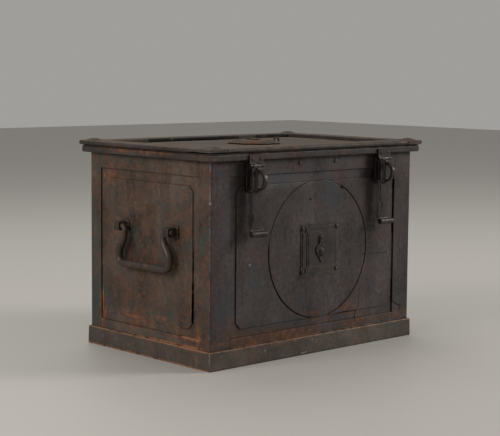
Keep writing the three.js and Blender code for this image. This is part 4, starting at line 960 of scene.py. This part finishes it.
# Rivets. For each kind: how far out its plate lies, then a head's radius and rise in mm.
rivetKinds = {
    "escutcheon": (0.1990, 4.6, 3.2), "haspPlate": (0.2012, 4.0, 1.8), "chestHinge": (0.2012, 4.5, 2.0),
    "staple": (0.3019, 2.0, 1.3), "backStrip": (0.1969, 5.0, 2.4), "bracket": (0.2147, 3.4, 1.6),
    "lidHinge": (0.2145, 3.5, 1.3),
}
rivetSteps = {      # from the middle of a fitting to its rivets
    "escutcheonAside": 0.051, "escutcheonUp": 0.046, "hinge": 0.020, "staple": 0.0116, "bracket": 0.011,
}
rivetHeights = {"haspPlate": 0.363, "staple": 0.271, "backStrip": 0.407, "bracket": 0.4225, "lidHinge": 0.423}
chestHingeHeights = (0.393, 0.363)
stapleMiddles = (-0.0865, 0.0755)
backRow = (-0.21, 0.21, 4)      # from, to, how many


def rowOf(first, last, count):
    return [first + (last - first) * step / (count - 1) for step in range(count)]


faces = {
    "front": ((1, 0, 0), (0, -1, 0)), "back": ((1, 0, 0), (0, 1, 0)), "left": ((0, 1, 0), (-1, 0, 0)),
    "right": ((0, 1, 0), (1, 0, 0)),
}


def rivetAt(kind, side, along, height):
    run, out = [Vector(way) for way in faces[side]]
    reach, radius, rise = rivetKinds[kind]
    return run * along + out * reach + Vector((0, 0, height)), out, radius * mm, rise * mm


def chestRivets():
    heads = []
    for sx in (-1, 1):
        for sz in (-1, 1):
            along = discMiddle[0] + sx * rivetSteps["escutcheonAside"]
            height = discMiddle[1] + sz * rivetSteps["escutcheonUp"]
            heads.append(rivetAt("escutcheon", "front", along, height))
        heads.append(rivetAt("haspPlate", "front", sx * haspPlace, rivetHeights["haspPlate"]))
        for end in (-1, 1):
            for height in chestHingeHeights:
                along = sx * hingePlace + end * rivetSteps["hinge"]
                heads.append(rivetAt("chestHinge", "back", along, height))
    for side in ("left", "right"):
        for middle in stapleMiddles:
            for end in (-1, 1):
                along = middle + end * rivetSteps["staple"]
                heads.append(rivetAt("staple", side, along, rivetHeights["staple"]))
    for along in rowOf(*backRow):
        heads.append(rivetAt("backStrip", "back", along, rivetHeights["backStrip"]))
    return heads


def lidRivets():
    heads = []
    for sx in (-1, 1):
        for end in (-1, 1):
            along = sx * haspPlace + end * rivetSteps["bracket"]
            heads.append(rivetAt("bracket", "front", along, rivetHeights["bracket"]))
            along = sx * hingePlace + end * rivetSteps["hinge"]
            heads.append(rivetAt("lidHinge", "back", along, rivetHeights["lidHinge"]))
    return heads


def socketOf(tree, name):
    return next(item.identifier for item in tree.interface.items_tree if item.name == name)


def rivetTree():
    # Each head is a low dome, turned outwards, sized by its point and a little uneven.
    tree = bpy.data.node_groups.new("rivetHeads", "GeometryNodeTree")
    for label, kind, value in (
        ("Geometry", "NodeSocketGeometry", None), ("Size Spread", number, 0.1), ("Hammered", number, 0.1),
        ("Seed", "NodeSocketInt", 1), ("Iron", "NodeSocketMaterial", None),
    ):
        socket = tree.interface.new_socket(label, in_out="INPUT", socket_type=kind)
        if value is not None:
            socket.default_value = value
    tree.interface.new_socket("Geometry", in_out="OUTPUT", socket_type="NodeSocketGeometry")
    given = tree.nodes.new("NodeGroupInput").outputs

    def pointValue(name):
        stored = put(tree, "GeometryNodeInputNamedAttribute", {"Name": name}, data_type="FLOAT_VECTOR")
        return stored.outputs[0]

    def scaled(value, factor):
        return put(tree, "ShaderNodeVectorMath", {0: value, 3: factor}, operation="SCALE").outputs[0]

    dome = put(tree, "GeometryNodeMeshUVSphere", {"Segments": 18, "Rings": 12, "Radius": 1.0}).outputs[0]
    place = put(tree, "GeometryNodeInputPosition").outputs[0]
    bumpy = put(tree, "ShaderNodeTexNoise", {"Vector": place, "Scale": 1.7, "Detail": 1.0}).outputs[0]
    bulge = calculate(tree, "MULTIPLY", calculate(tree, "SUBTRACT", bumpy, 0.5), given["Hammered"])
    dome = put(tree, "GeometryNodeSetPosition", {"Geometry": dome, "Offset": scaled(place, bulge)}).outputs[0]
    facing = put(tree, "FunctionNodeAlignRotationToVector", {"Vector": pointValue("outward")}, axis="Z")
    least = calculate(tree, "SUBTRACT", 1.0, given["Size Spread"])
    most = calculate(tree, "ADD", 1.0, given["Size Spread"])
    spread = put(tree, "FunctionNodeRandomValue", {2: least, 3: most, 8: given["Seed"]}, data_type="FLOAT")
    heads = put(tree, "GeometryNodeInstanceOnPoints", {
        "Points": given["Geometry"], "Instance": dome, "Rotation": facing.outputs[0],
        "Scale": scaled(pointValue("size"), spread.outputs[1]),
    }).outputs[0]
    heads = put(tree, "GeometryNodeRealizeInstances", {"Geometry": heads}).outputs[0]
    heads = put(tree, "GeometryNodeSetShadeSmooth", {"Geometry": heads}).outputs[0]
    heads = put(tree, "GeometryNodeSetMaterial", {"Geometry": heads, "Material": given["Iron"]}).outputs[0]
    tree.links.new(heads, tree.nodes.new("NodeGroupOutput").inputs[0])
    return tree


rivetSettings = {
    "chest": {"heads": chestRivets(), "Size Spread": 0.08, "Hammered": 0.22, "Seed": 4},
    "lid": {"heads": lidRivets(), "Size Spread": 0.08, "Hammered": 0.22, "Seed": 9},
}
rivetMaker = rivetTree()


def addRivets(body):
    setting = rivetSettings[body]
    points = bpy.data.meshes.new(body + "RivetPoints")
    points.from_pydata([place for place, out, radius, rise in setting["heads"]], [], [])
    facing = [part for place, out, radius, rise in setting["heads"] for part in out]
    sizes = [part for place, out, radius, rise in setting["heads"] for part in (radius, radius, rise)]
    points.attributes.new("outward", "FLOAT_VECTOR", "POINT").data.foreach_set("vector", facing)
    points.attributes.new("size", "FLOAT_VECTOR", "POINT").data.foreach_set("vector", sizes)
    piece = bpy.data.objects.new(body + "_rivets", points)
    bpy.context.scene.collection.objects.link(piece)
    maker = piece.modifiers.new("maker", "NODES")
    maker.node_group = rivetMaker
    for name in ("Size Spread", "Hammered", "Seed"):
        maker[socketOf(rivetMaker, name)] = setting[name]
    maker[socketOf(rivetMaker, "Iron")] = irons["fitting_iron"]
    settle(piece)
    finishPiece(piece, body, "fitting_iron")


for body in rivetSettings:
    addRivets(body)
print("rivets set")
